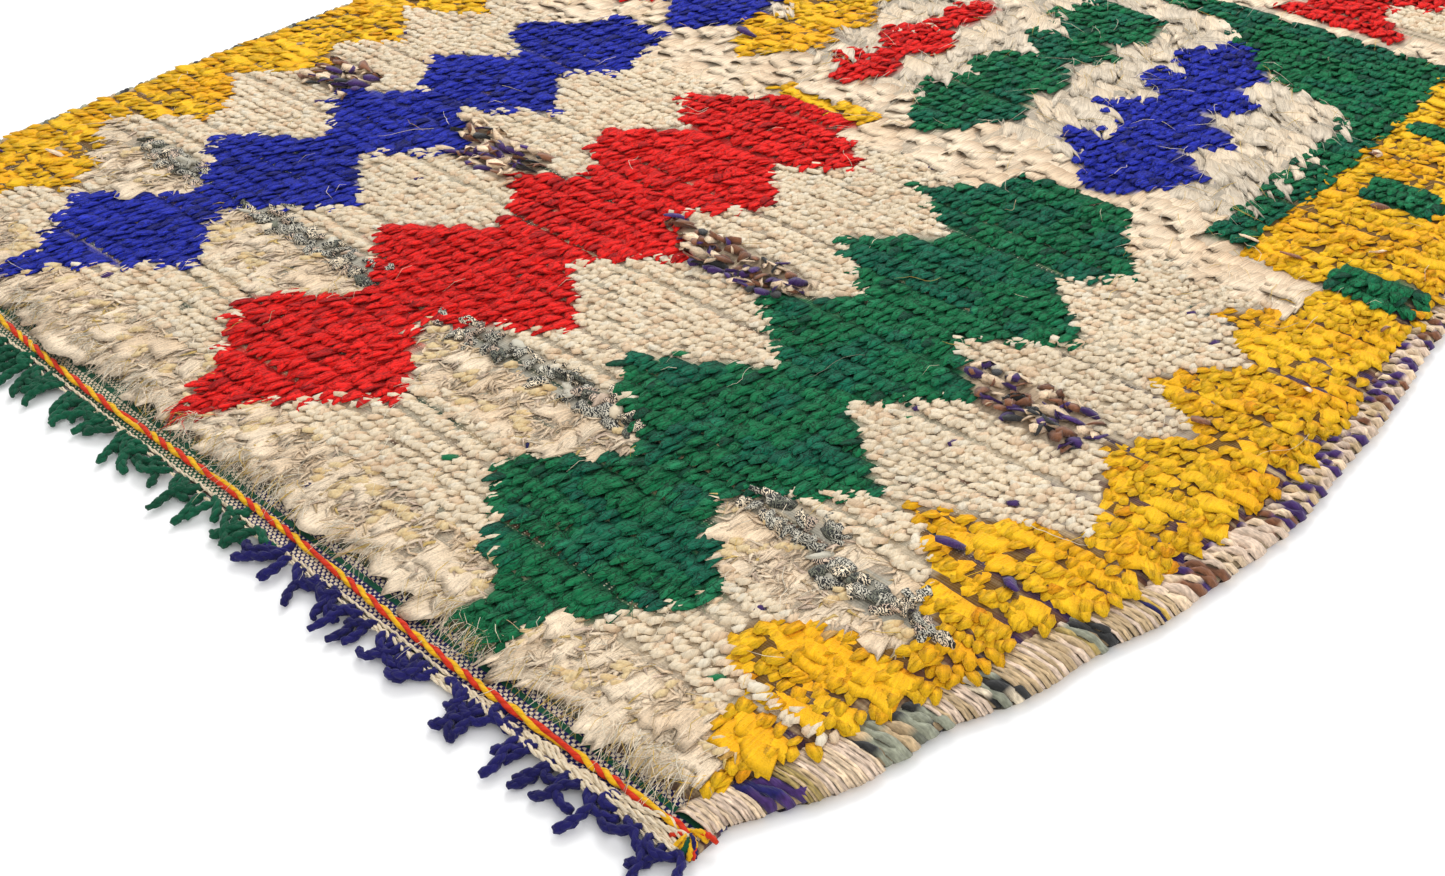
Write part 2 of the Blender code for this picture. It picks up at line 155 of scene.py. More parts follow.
# The rows that the lozenges of the far half share.
FAR = (0.288, 0.372, 0.435, 0.5, 0.565, 0.63, 0.7, 0.765, 0.835, 0.915)
FIGURES = (
    figure(Yarn.BLUE, (-0.95, -0.37, -0.355), (-0.905, -0.375, -0.335), (-0.825, -0.442, -0.252),
        (-0.75, -0.36, -0.32), (-0.672, -0.442, -0.225), (-0.604, -0.35, -0.308), (-0.532, -0.435, -0.233),
        (-0.479, -0.367, -0.308), (-0.417, -0.429, -0.227), (-0.358, -0.354, -0.296),
        (-0.308, -0.425, -0.242), (-0.245, -0.37, -0.27), (-0.21, -0.345, -0.267)),
    figure(Yarn.RED, (-0.958, -0.076, -0.062), (-0.905, -0.096, -0.042), (-0.825, -0.177, 0.043),
        (-0.75, -0.096, -0.038), (-0.675, -0.187, 0.073), (-0.604, -0.093, -0.012), (-0.529, -0.164, 0.06),
        (-0.487, -0.104, -0.004), (-0.417, -0.167, 0.06), (-0.358, -0.108, 0.008), (-0.304, -0.162, 0.073),
        (-0.255, -0.1, 0.01), (-0.226, -0.067, 0.0)),
    figure(Yarn.YELLOW, (-0.238, -0.1, 0.02), (-0.206, -0.1, 0.02)),
    figure(Yarn.GREEN, (-0.955, 0.256, 0.3), (-0.908, 0.254, 0.3), (-0.9, 0.225, 0.325),
        (-0.825, 0.154, 0.373), (-0.75, 0.229, 0.3), (-0.671, 0.121, 0.387), (-0.604, 0.233, 0.3),
        (-0.529, 0.148, 0.367), (-0.479, 0.225, 0.308), (-0.412, 0.137, 0.387), (-0.35, 0.212, 0.321),
        (-0.296, 0.132, 0.367), (-0.245, 0.19, 0.325), (-0.205, 0.192, 0.315)),
    figure(Yarn.YELLOW, (-0.96, -OFF, -0.54), (-0.9, -OFF, -0.52), (-0.86, -OFF, -0.48),
        (-0.825, -OFF, -0.446), (-0.8, -OFF, -0.47), (-0.77, -OFF, -0.5), (-0.735, -OFF, -0.56),
        (-0.658, -OFF, -0.479), (-0.62, -OFF, -0.5), (-0.583, -OFF, -0.554), (-0.525, -OFF, -0.487),
        (-0.5, -OFF, -0.492), (-0.467, -OFF, -0.533), (-0.417, -OFF, -0.475), (-0.36, -OFF, -0.545),
        (-0.308, -OFF, -0.46), (-0.255, -OFF, -0.535), (-0.208, -OFF, -0.56)),
    figure(Yarn.YELLOW, (-0.958, 0.472, 0.505), (-0.922, 0.472, 0.508), (-0.918, 0.446, 0.518),
        (-0.884, 0.446, 0.518)),
    figure(Yarn.YELLOW, (-0.872, 0.425, 0.505), (-0.85, 0.405, 0.53), (-0.832, 0.404, 0.535),
        (-0.8, 0.437, 0.538), (-0.783, 0.49, 0.536), (-0.755, 0.498, 0.54), (-0.742, 0.478, 0.555),
        (-0.7, 0.45, 0.575), (-0.667, 0.408, 0.583), (-0.64, 0.46, 0.588), (-0.608, 0.525, 0.592),
        (-0.56, 0.5, 0.602), (-0.512, 0.471, 0.606), (-0.458, 0.517, OFF), (-0.417, 0.45, OFF),
        (-0.35, 0.504, OFF), (-0.296, 0.442, OFF), (-0.25, 0.49, 0.575), (-0.206, 0.5, 0.567)),
    figure(Yarn.YELLOW, (-0.2, 0.412, OFF), (0.02, 0.408, OFF), (0.27, 0.398, OFF)),
    figure(Yarn.GREEN, (-0.2, 0.49, 0.562), (-0.152, 0.49, 0.562)),
    figure(Yarn.GREEN, (-0.046, 0.446, 0.517), (0.0, 0.446, 0.517)),
    figure(Yarn.GREEN, (0.105, 0.425, 0.48), (0.14, 0.425, 0.48)),
    figure(Yarn.YELLOW, (-0.2, -OFF, -0.47), (0.27, -OFF, -0.462)),
    figure(Yarn.GREEN, (-0.15, -0.6, -0.535), (-0.105, -0.6, -0.535)),
    figure(Yarn.GREEN, (0.04, -0.56, -0.505), (0.085, -0.56, -0.505)),
    figure(Yarn.GREEN, (-0.19, 0.379, 0.412), (0.08, 0.374, 0.41), (0.1, 0.345, 0.408),
        (0.12, 0.278, 0.405), (0.225, 0.146, 0.4), (0.232, 0.1, 0.4), (0.268, 0.1, 0.4)),
    figure(Yarn.GREEN, (-0.19, -0.47, -0.436), (0.08, -0.468, -0.43), (0.12, -0.466, -0.35),
        (0.225, -0.462, -0.216), (0.232, -0.462, 0.11), (0.268, -0.462, 0.11)),
    chain(Yarn.RED, -0.385, -0.178, 0.0, (0.0, 0.008), (0.055, 0.042), (0.095, 0.012), (0.13, 0.045),
        (0.185, 0.01), (0.235, 0.03), (0.27, 0.006)),
    chain(Yarn.BLUE, -0.285, -0.192, 0.0, (0.0, 0.01), (0.075, 0.072), (0.118, 0.028), (0.155, 0.075),
        (0.2, 0.024), (0.245, 0.06), (0.29, 0.01)),
    chain(Yarn.YELLOW, -0.182, -0.196, 0.0, (0.0, 0.008), (0.081, 0.064), (0.117, 0.03), (0.15, 0.064),
        (0.2, 0.022), (0.248, 0.045), (0.3, 0.01)),
    chain(Yarn.RED, -0.064, -0.172, 0.0, (0.0, 0.008), (0.052, 0.038), (0.089, 0.01), (0.126, 0.044),
        (0.18, 0.009), (0.23, 0.022), (0.265, 0.005)),
    chain(Yarn.GREEN, 0.066, -0.204, 0.0, (0.0, 0.008), (0.087, 0.062), (0.137, 0.032), (0.164, 0.06),
        (0.221, 0.02), (0.254, 0.058), (0.29, 0.03), (0.321, 0.064), (0.35, 0.05), (0.379, 0.046)),
    chain(Yarn.BLUE, 0.264, -0.194, -0.062, (0.0, 0.01), (0.086, 0.08), (0.119, 0.028), (0.156, 0.08),
        (0.202, 0.024), (0.244, 0.072), (0.278, 0.03), (0.304, 0.054), (0.378, 0.01)),
    figure(Yarn.RED, *zip(
        FAR,
        (0.17, 0.225, 0.148, 0.22, 0.14, 0.218, 0.145, 0.215, 0.15, 0.24),
        (0.33, 0.272, 0.352, 0.28, 0.36, 0.285, 0.365, 0.29, 0.35, 0.262))),
    figure(Yarn.GREEN, *zip(
        FAR,
        (-0.12, -0.075, -0.155, -0.08, -0.16, -0.082, -0.158, -0.085, -0.15, -0.06),
        (0.02, -0.02, 0.06, -0.018, 0.062, -0.012, 0.06, -0.015, 0.05, -0.04))),
    figure(Yarn.BLUE, *zip(
        FAR,
        (-0.4, -0.355, -0.435, -0.36, -0.438, -0.358, -0.436, -0.36, -0.43, -0.342),
        (-0.26, -0.3, -0.23, -0.3, -0.228, -0.298, -0.226, -0.3, -0.24, -0.322))),
    figure(Yarn.YELLOW, (0.29, 0.5, OFF), (0.372, 0.545, OFF), (0.435, 0.46, OFF), (0.5, 0.54, OFF),
        (0.565, 0.455, OFF), (0.63, 0.535, OFF), (0.7, 0.455, OFF), (0.765, 0.53, OFF), (0.835, 0.46, OFF),
        (0.93, 0.54, OFF)),
    figure(Yarn.YELLOW, (0.29, -OFF, -0.52), (0.372, -OFF, -0.56), (0.435, -OFF, -0.48),
        (0.5, -OFF, -0.555), (0.565, -OFF, -0.475), (0.63, -OFF, -0.55), (0.7, -OFF, -0.478),
        (0.765, -OFF, -0.548), (0.835, -OFF, -0.48), (0.93, -OFF, -0.55)),
)


class Field(NamedTuple):
    """The yarn of the ground between two places along the rug, and between two across."""

    start: float
    end: float
    yarn: Yarn
    left: float = -OFF
    right: float = OFF


FIELDS = (
    Field(-1.000, -0.900, Yarn.BEIGE),
    Field(-0.805, -0.728, Yarn.BEIGE),
    Field(-0.745, -0.722, Yarn.GREY, -0.490, 0.200),
    Field(-0.748, -0.722, Yarn.GREY, 0.315, 0.400),
    Field(-0.770, -0.738, Yarn.GREY, 0.400, 0.500),
    Field(-0.545, -0.488, Yarn.SHRED, -0.490, -0.420),
    Field(-0.550, -0.488, Yarn.SHRED, -0.285, -0.150),
    Field(-0.538, -0.488, Yarn.SHRED, 0.000, 0.175),
    Field(-0.542, -0.490, Yarn.SHRED, 0.340, 0.462),
    Field(-0.262, -0.150, Yarn.MATTED),
    Field(-0.150, 0.275, Yarn.SHAG),
    Field(0.275, 0.330, Yarn.MATTED),
    Field(0.500, 0.545, Yarn.GREY, -0.300, 0.420),
    Field(0.640, 0.700, Yarn.MATTED),
    Field(0.900, 1.100, Yarn.BEIGE),
)


def drift(x: Array, y: Array, cell: float, seed: int) -> Array:
    """Smooth unevenness from -1 to 1: random values on a square lattice, eased between its corners.

    Args:
        x: places across.
        y: places along.
        cell: the lattice's pitch.
        seed: which lattice.

    Returns:
        A value for each place.
    """
    lattice = np.random.default_rng(seed).uniform(-1, 1, (LATTICE, LATTICE))
    u, v = np.asarray(x) / cell + SHIFT, np.asarray(y) / cell + SHIFT
    i, j = np.floor(u).astype(int), np.floor(v).astype(int)
    fu, fv = u - i, v - j
    fu, fv = fu * fu * (3 - 2 * fu), fv * fv * (3 - 2 * fv)
    left, right, near, far = i % LATTICE, (i + 1) % LATTICE, j % LATTICE, (j + 1) % LATTICE
    low = lattice[left, near] * (1 - fu) + lattice[right, near] * fu
    high = lattice[left, far] * (1 - fu) + lattice[right, far] * fu
    return low * (1 - fv) + high * fv


def ease(value: Array, start: float, end: float) -> Array:
    """0 before start, 1 after end, and a smooth step between them."""
    share = np.clip((np.asarray(value) - start) / (end - start), 0, 1)
    return share * share * (3 - 2 * share)


def directions(path: Array) -> tuple[Array, Array]:
    """The two directions across paths: side is level and square to the path, and up is square to both.

    Args:
        path: the paths, as (paths, rings, 3).

    Returns:
        Side and up at each ring.
    """
    along = np.gradient(path, axis=1)
    along /= np.linalg.norm(along, axis=2, keepdims=True) + TINY
    side = np.cross(np.array((0.0, 0.0, 1.0)), along)
    side /= np.linalg.norm(side, axis=2, keepdims=True) + SMALL
    return side, np.cross(along, side)


def distance(path: Array) -> Array:
    """How far each ring is along its path."""
    step = np.linalg.norm(np.diff(path, axis=1), axis=2)
    return np.concatenate([np.zeros((len(path), 1)), np.cumsum(step, axis=1)], axis=1)


def strides(heading: Array, step: Array) -> tuple[Array, Array]:
    """How far paths with these headings have come sideways and ahead after each step."""
    return np.cumsum(np.sin(heading) * step, axis=1), np.cumsum(np.cos(heading) * step, axis=1)


def with_lots(colours: Array, rng: Chance) -> Array:
    """The colours, with a lot number from 0 to 1 as the fourth value."""
    return np.concatenate([colours, rng.uniform(0, 1, (len(colours), 1))], axis=1)


def sheet_faces(index: Array) -> Array:
    """The faces of a sheet whose points have these numbers in rows and columns."""
    return np.stack([index[:-1, :-1], index[:-1, 1:], index[1:, 1:], index[1:, :-1]], -1).reshape(-1, 4)


@dataclass
class Swept:
    """Tubes of one kind: points, their places in the unbent yarn, and faces."""

    points: Array
    yarn: Array
    faces: list[Array]

    def put(self, name: str, tint: Array, material: Material, slot: str) -> Piece:
        """Makes the tubes into one piece.

        Args:
            name: the piece's name.
            tint: colours with lot numbers, each for an equal share of the points.
            material: its finish.
            slot: not used.

        Returns:
            The piece.
        """
        values = {"tint": np.repeat(tint, len(self.points) // len(tint), axis=0), "yarn": self.yarn}
        return put_mesh(name, self.points, self.faces, values, material)


def sweep(centre: Array, wide: Array, thick: Array, sides: int, roll: Array | float = 0.0,
          knobble: float = 0.0, seed: int = 5) -> Swept:
    """Carries an oval profile along many paths at once.

    Each point is the path's centre + side * wide * cos(angle) + up * thick * sin(angle), where side and up
    are turned by roll about the path. A profile of three points has its flat face on top.

    Args:
        centre: the paths, as (paths, rings, 3).
        wide: half widths, for each path and ring.
        thick: half thicknesses, for each path and ring.
        sides: points round the profile.
        roll: turn about the path, for each path and ring, or one value.
        knobble: how far each point strays from the oval, as a share of its size.
        seed: which unevenness.

    Returns:
        The tubes.
    """
    count, rings = centre.shape[:2]
    side, up = directions(centre)
    turn = np.broadcast_to(np.asarray(roll, float), (count, rings))[..., None]
    side, up = side * np.cos(turn) + up * np.sin(turn), up * np.cos(turn) - side * np.sin(turn)
    angle = 2 * np.pi * np.arange(sides) / sides + (-0.5 if sides == 3 else 0.5) * np.pi
    size = 1 + knobble * np.random.default_rng(seed).uniform(-1, 1, (count, rings, sides))
    across = wide[..., None] * np.cos(angle) * size
    lift = thick[..., None] * np.sin(angle) * size
    points = centre[:, :, None] + side[:, :, None] * across[..., None] + up[:, :, None] * lift[..., None]
    yarn = np.stack([across, lift, np.broadcast_to(distance(centre)[..., None], across.shape)], axis=-1)
    index = np.arange(count * rings * sides).reshape(count, rings, sides)
    near, far = index[:, :-1], index[:, 1:]
    quads = np.stack([near, np.roll(near, -1, 2), np.roll(far, -1, 2), far], axis=-1).reshape(-1, 4)
    caps = np.concatenate([index[:, 0, ::-1], index[:, -1]])
    return Swept(points.reshape(-1, 3), yarn.reshape(-1, 3), [quads, caps])


def twisted(path: Array, radius: Array, turn: float, spread: float, sides: int, seed: int) -> Swept:
    """Two yarns wound about each path: each keeps to centre + spread * (side * cos + up * sin) of its turn.

    Args:
        path: the middles, as (paths, rings, 3).
        radius: the yarn's radius, for each path and ring.
        turn: length of one full turn.
        spread: how far each yarn lies off the middle, in radii.
        sides: points round each yarn.
        seed: which unevenness.

    Returns:
        The tubes, two for each path.
    """
    side, up = directions(path)
    start = np.random.default_rng(seed).uniform(0, 2 * np.pi, (len(path), 1))
    angle = 2 * np.pi * distance(path) / turn + start
    both = []
    for number in range(2):
        now = (angle + math.pi * number)[..., None]
        both.append(path + (side * np.cos(now) + up * np.sin(now)) * radius[..., None] * spread)
    size = np.repeat(radius, 2, axis=0)
    return sweep(np.stack(both, axis=1).reshape(-1, *path.shape[1:]), size, size, sides, 0.0, 0.10, seed)


def put_mesh(name: str, points: Array, faces: Sequence[Array], values: dict[str, Array],
             material: Material) -> Piece:
    """Makes a smooth mesh object at the origin, with point attributes, that rides on the rug.

    Args:
        name: the piece's name.
        points: its points, as (points, 3).
        faces: arrays of point numbers, each with its own number of corners.
        values: attributes by name: colours have 4 columns and vectors 3.
        material: its finish.

    Returns:
        The object.
    """
    mesh = bpy.data.meshes.new(name)
    sizes = np.concatenate([np.full(len(part), part.shape[1]) for part in faces])
    corners = np.concatenate([part.ravel() for part in faces])
    mesh.vertices.add(len(points))
    mesh.vertices.foreach_set("co", np.ascontiguousarray(points, np.float32).ravel())
    mesh.loops.add(len(corners))
    mesh.loops.foreach_set("vertex_index", corners.astype(np.int32))
    mesh.polygons.add(len(sizes))
    mesh.polygons.foreach_set("loop_start", np.concatenate([[0], np.cumsum(sizes)[:-1]]).astype(np.int32))
    mesh.update(calc_edges=True)
    for key, value in values.items():
        kind, field = ("FLOAT_COLOR", "color") if value.shape[1] == 4 else ("FLOAT_VECTOR", "vector")
        mesh.attributes.new(key, kind, "POINT").data.foreach_set(field, value.astype(np.float32).ravel())
    mesh.shade_smooth()
    mesh.materials.append(material)
    piece = bpy.data.objects.new(name, mesh)
    bpy.context.scene.collection.objects.link(piece)
    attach(piece, ROOT)
    log.info("%s: %d triangles", name, int((sizes - 2).sum()))
    return piece


class Shader:
    """A node material under construction, with short ways to add and join nodes."""

    def __init__(self, name: str, roughness: float, sheen: float) -> None:
        """Starts a cloth material.

        Args:
            name: the material's name.
            roughness: how matt the fibre is.
            sheen: how much the fibre's down catches light.
        """
        self.material = bpy.data.materials.new(name)
        self.material.use_nodes = True
        self.tree = self.material.node_tree
        self.cloth = self.tree.nodes["Principled BSDF"]
        constants = {"Roughness": roughness, "Specular IOR Level": 0.25, "Sheen Weight": sheen,
                     "Sheen Roughness": 0.5}
        for key, value in constants.items():
            self.feed(self.cloth.inputs[key], value)

    def feed(self, socket: Socket, value: Value) -> None:
        """Gives a socket what it takes.

        Args:
            socket: the socket.
            value: another node's output, or a number, vector or colour.
        """
        if isinstance(value, bpy.types.NodeSocket):
            self.tree.links.new(value, socket)
        elif socket.type == "RGBA":
            socket.default_value = (*value[:3], 1.0)
        else:
            socket.default_value = value

    def add(self, kind: str, inputs: dict[int | str, Value], **settings: str) -> bpy.types.Node:
        """Adds a node.

        Args:
            kind: its type, without the leading ShaderNode.
            inputs: what each socket takes, a value or another node's output.
            settings: the node's own properties.

        Returns:
            The node.
        """
        node = self.tree.nodes.new("ShaderNode" + kind)
        for key, value in settings.items():
            setattr(node, key, value)
        for key, value in inputs.items():
            self.feed(node.inputs[key], value)
        return node

    def math(self, operation: str, *values: Value) -> Socket:
        """One step of arithmetic on sockets and numbers."""
        return self.add("Math", dict(enumerate(values)), operation=operation).outputs[0]

    def times(self, first: Value, second: Value) -> Socket:
        """The product of two numbers."""
        return self.math("MULTIPLY", first, second)

    def plus(self, first: Value, second: Value) -> Socket:
        """The sum of two numbers."""
        return self.math("ADD", first, second)

    def minus(self, first: Value, second: Value) -> Socket:
        """The first number less the second."""
        return self.math("SUBTRACT", first, second)

    def vector(self, operation: str, inputs: dict[int | str, Value]) -> Socket:
        """One step of arithmetic on vectors or colours."""
        return self.add("VectorMath", inputs, operation=operation).outputs[0]

    def attribute(self, name: str) -> bpy.types.Node:
        """Reads one of the mesh's attributes."""
        return self.add("Attribute", {}, attribute_name=name)

    def place(self) -> Socket:
        """The point's place on the object."""
        return self.add("TexCoord", {}).outputs["Object"]

    def split(self, vector: Socket) -> Sequence[Socket]:
        """The three numbers of a vector."""
        return self.add("SeparateXYZ", {0: vector}).outputs

    def drawn(self, vector: Socket, scale: tuple[float, float, float]) -> Socket:
        """Places scaled along each axis, to draw a pattern out along the axes with small factors."""
        return self.add("Mapping", {"Vector": vector, "Scale": scale}).outputs[0]

    def blend(self, factor: Value, first: Value, second: Value) -> Socket:
        """Mixes two colours.

        Args:
            factor: share of the second.
            first: the colour beneath.
            second: the colour on top.

        Returns:
            The colour.
        """
        return self.add("Mix", {0: factor, 6: first, 7: second}, data_type="RGBA").outputs[2]

    def noise(self, vector: Socket, scale: float, detail: float = 2.0, twist: float = 0.0) -> Socket:
        """Cloudy noise.

        Args:
            vector: places.
            scale: lumps in a metre.
            detail: how many finer layers it has.
            twist: how far its lumps are drawn out of shape.

        Returns:
            A number from 0 to 1.
        """
        inputs = {"Vector": vector, "Scale": scale, "Detail": detail, "Distortion": twist}
        return self.add("TexNoise", inputs).outputs["Fac"]

    def cracks(self, vector: Socket, scale: float, width: float) -> Socket:
        """Wandering lines where noise crosses its middle.

        Args:
            vector: places.
            scale: lumps of that noise in a metre.
            width: how far from its middle a line reaches.

        Returns:
            0 on a line and 1 off it.
        """
        middle = self.math("ABSOLUTE", self.minus(self.noise(vector, scale, 1.5, 1.2), 0.5))
        return self.ramp(middle, 0.0, width)

    def ramp(self, value: Socket, low: float, high: float, first: float = 0.0, last: float = 1.0) -> Socket:
        """Maps a value from one range to another and keeps it there.

        Args:
            value: the value.
            low: where its range starts.
            high: where its range ends.
            first: what it becomes at low.
            last: what it becomes at high.

        Returns:
            The mapped value.
        """
        inputs = {"Value": value, "From Min": low, "From Max": high, "To Min": first, "To Max": last}
        return self.add("MapRange", inputs).outputs[0]

    def soft_normal(self, softness: float) -> Socket:
        """The surface's direction, turned towards the rug's own up, as felted wool scatters light.

        Args:
            softness: the length of up that is added to the direction.

        Returns:
            The direction.
        """
        up = self.add("VectorTransform", {0: (0.0, 0.0, 1.0)}, vector_type="NORMAL", convert_from="OBJECT",
                      convert_to="WORLD")
        up = self.vector("SCALE", {0: up.outputs[0], "Scale": softness})
        away = self.add("NewGeometry", {}).outputs["Normal"]
        return self.vector("NORMALIZE", {0: self.vector("ADD", {0: away, 1: up})})

    def finish(self, colour: Socket, shade: Value, height: Socket, depth: float,
               softness: float = 0.0) -> Material:
        """Joins colour and relief to the cloth.

        Args:
            colour: the colour.
            shade: how light it is, where 1 leaves it as it is.
            height: the relief, 0 to 1.
            depth: how deep that relief is, in metres.
            softness: how far the surface's direction turns towards the rug's own up.

        Returns:
            The material.
        """
        bump = self.add("Bump", {"Height": height, "Distance": depth, "Strength": 1.0})
        if softness > 0:
            self.feed(bump.inputs["Normal"], self.soft_normal(softness))
        if shade != 1.0:
            colour = self.vector("SCALE", {0: colour, "Scale": shade})
        self.feed(self.cloth.inputs["Base Color"], colour)
        self.feed(self.cloth.inputs["Normal"], bump.outputs[0])
        return self.material


@dataclass(frozen=True)
class YarnFinish:
    """How spun yarn looks close to: its plies, its fibres, its down and the cracks between its locks."""

    name: str
    ply_turn: float = 0.014
    ply_width: float = 0.0026
    ply_depth: float = 0.0010
    # Painted shade in the groove between the plies.
    ply_shade: float = 0.22
    fibre: float = 0.0013
    fibre_shade: float = 0.30
    fibre_depth: float = 0.0005
    roughness: float = 0.92
    sheen: float = 0.25
    softness: float = 0.0
    stretch: float = 0.16
    fuzz_share: float = 0.35
    fuzz_scale: float = 620.0
    # Painted shade in the cracks between locks.
    crack_shade: float = 0.0
    crack_scale: float = 150.0
    crack_width: float = 0.030
    crack_stretch: tuple[float, float, float] = (1.0, 0.55, 1.0)
    lot_distance: float = 37.0

    def material(self) -> Material:
        """The yarn's material.

        It reads the point's place in the unbent yarn: the section turns with the length, so that a plane
        through the middle becomes the groove between two plies, and noise drawn out along the length
        makes the fibres, in another place for each lot. The groove, and any cracks between locks, are
        darkened as painted shade.

        Returns:
            The material, which takes its colour from the tint attribute.
        """
        shader = Shader(self.name, self.roughness, self.sheen)
        tint = shader.attribute("tint").outputs
        yarn = shader.attribute("yarn").outputs["Vector"]
        length = shader.split(yarn)[2]
        turn = shader.times(length, 2 * math.pi / self.ply_turn)
        turned = shader.add("VectorRotate", {"Vector": yarn, "Angle": turn}, rotation_type="Z_AXIS")
        section = shader.split(turned.outputs[0])
        groove = shader.ramp(shader.math("ABSOLUTE", section[0]), 0.0, self.ply_width)
        parts = {0: section[0], 1: section[1], 2: shader.times(length, self.stretch)}
        lot = shader.times(tint["Alpha"], self.lot_distance)
        apart = shader.vector("ADD", {0: shader.add("CombineXYZ", parts).outputs[0], 1: lot})
        fibres = shader.noise(apart, 1 / self.fibre)
        where = shader.place()
        fuzz = shader.noise(where, self.fuzz_scale, 3.0)
        grain = shader.plus(shader.times(fibres, 1 - self.fuzz_share), shader.times(fuzz, self.fuzz_share))
        shade = shader.ramp(grain, 0.30, 0.70, 1 - self.fibre_shade, 1 + self.fibre_shade)
        # Painted shade: darker in the groove between the two plies.
        shade = shader.times(shade, shader.ramp(groove, 0.0, 1.0, 1 - self.ply_shade))
        relief = shader.plus(
            shader.times(groove, self.ply_depth), shader.times(grain, self.fibre_depth * 3))
        if self.crack_shade > 0:
            drawn = shader.drawn(where, self.crack_stretch)
            open_wool = shader.cracks(drawn, self.crack_scale, self.crack_width)
            # Painted shade: darker along the cracks between locks.
            shade = shader.times(shade, shader.ramp(open_wool, 0.0, 1.0, 1 - self.crack_shade))
            relief = shader.plus(relief, shader.times(open_wool, self.fibre_depth))
        return shader.finish(tint["Color"], shade, shader.times(relief, 1000.0), 0.001, self.softness)


@dataclass(frozen=True)
class Cut:
    """How one yarn's knots stand: sizes in metres, angles in degrees, and profiles from root to tip."""

    pitch: float
    row: float
    length: float
    width: float
    thick: float
    rise: float
    lie: float
    lean: float
    yaw: float
    roll: float
    curl: float
    locks: int
    fan: float
    sides: int
    wide_profile: tuple[float, ...]
    thick_profile: tuple[float, ...]
    knobble: float
    stray: float


NUB = ((0.86, 1.05, 0.74), (0.92, 1.05, 0.74))
LOCK = ((0.85, 1.00, 0.95, 0.36), (1.00, 1.00, 0.85, 0.30))
WISP = ((0.90, 0.85, 0.14), (1.00, 0.80, 0.20))
PETAL = ((0.60, 1.00, 1.02, 0.36), (1.00, 1.00, 0.80, 0.45))
LEAF = ((0.75, 1.00, 1.05, 0.60), (1.00, 1.00, 0.85, 0.45))

# Pitch, row, length, width, thick, rise, lie, lean, yaw, roll, curl, locks, fan, sides, the two profiles,
# knobble and stray.
CUTS = {
    Yarn.CREAM: Cut(0.0054, 0.0078, 0.0114, 0.0068, 0.005, 31, 0, -24, 18, 16, 24, 1, 0, 4,
                *NUB, 0.12, 0.0009),
    Yarn.GREEN: Cut(0.0084, 0.0148, 0.0225, 0.0102, 0.005, 22, -3, 0, 6, 7, 11, 2, 8, 3,
                *LOCK, 0.1, 0.0006),
    Yarn.RED: Cut(0.008, 0.0145, 0.023, 0.0091, 0.0052, 24, -3, 0, 10, 8, 20, 2, 12, 3,
                *LOCK, 0.1, 0.0006),
    Yarn.BLUE: Cut(0.0086, 0.0148, 0.0225, 0.0104, 0.0046, 19, -3, 0, 6, 7, 10, 2, 8, 3,
                *LOCK, 0.1, 0.0006),
    Yarn.BEIGE: Cut(0.0098, 0.012, 0.02, 0.0038, 0.002, 20, -6, -6, 30, 12, 55, 4, 60, 3,
                *WISP, 0.12, 0.003),
    Yarn.YELLOW: Cut(0.0074, 0.0114, 0.0172, 0.0102, 0.0028, 22, -6, -6, 13, 8, 18, 1, 0, 3,
                *PETAL, 0.26, 0.0007),
    Yarn.SHRED: Cut(0.0066, 0.013, 0.023, 0.0085, 0.0026, 40, 8, 0, 50, 60, 50, 1, 0, 4,
                *LEAF, 0.2, 0.0016),
    Yarn.GREY: Cut(0.0066, 0.01, 0.0205, 0.0096, 0.0046, 24, 0, 0, 60, 60, 85, 1, 0, 5,
                *LEAF, 0.42, 0.0018),
}


@dataclass(frozen=True)
class Blend:
    """The colours of one yarn.

    The main one, others by share, how much its lightness varies from lock to lock and from patch to patch,
    how much of each of red, green and blue is left at the roots as painted shade, where the locks lie in
    each other's shade, and the colour that some patches lean to.
    """

    main: Array
    others: tuple[tuple[float, Array], ...]
    vary: float
    patch: float
    # Painted shade: the share of red, green and blue left at the roots, where the locks lie in shade.
    root: tuple[float, float, float] = (0.85, 0.85, 0.85)
    cast: Array | None = None

    def depth(self, reach: Array) -> Array:
        """Painted shade: how much of red, green and blue is left at shares of the way from root to tip."""
        root = np.array(self.root)
        return root + (1 - root) * ease(reach, 0.0, 0.70)[:, None]
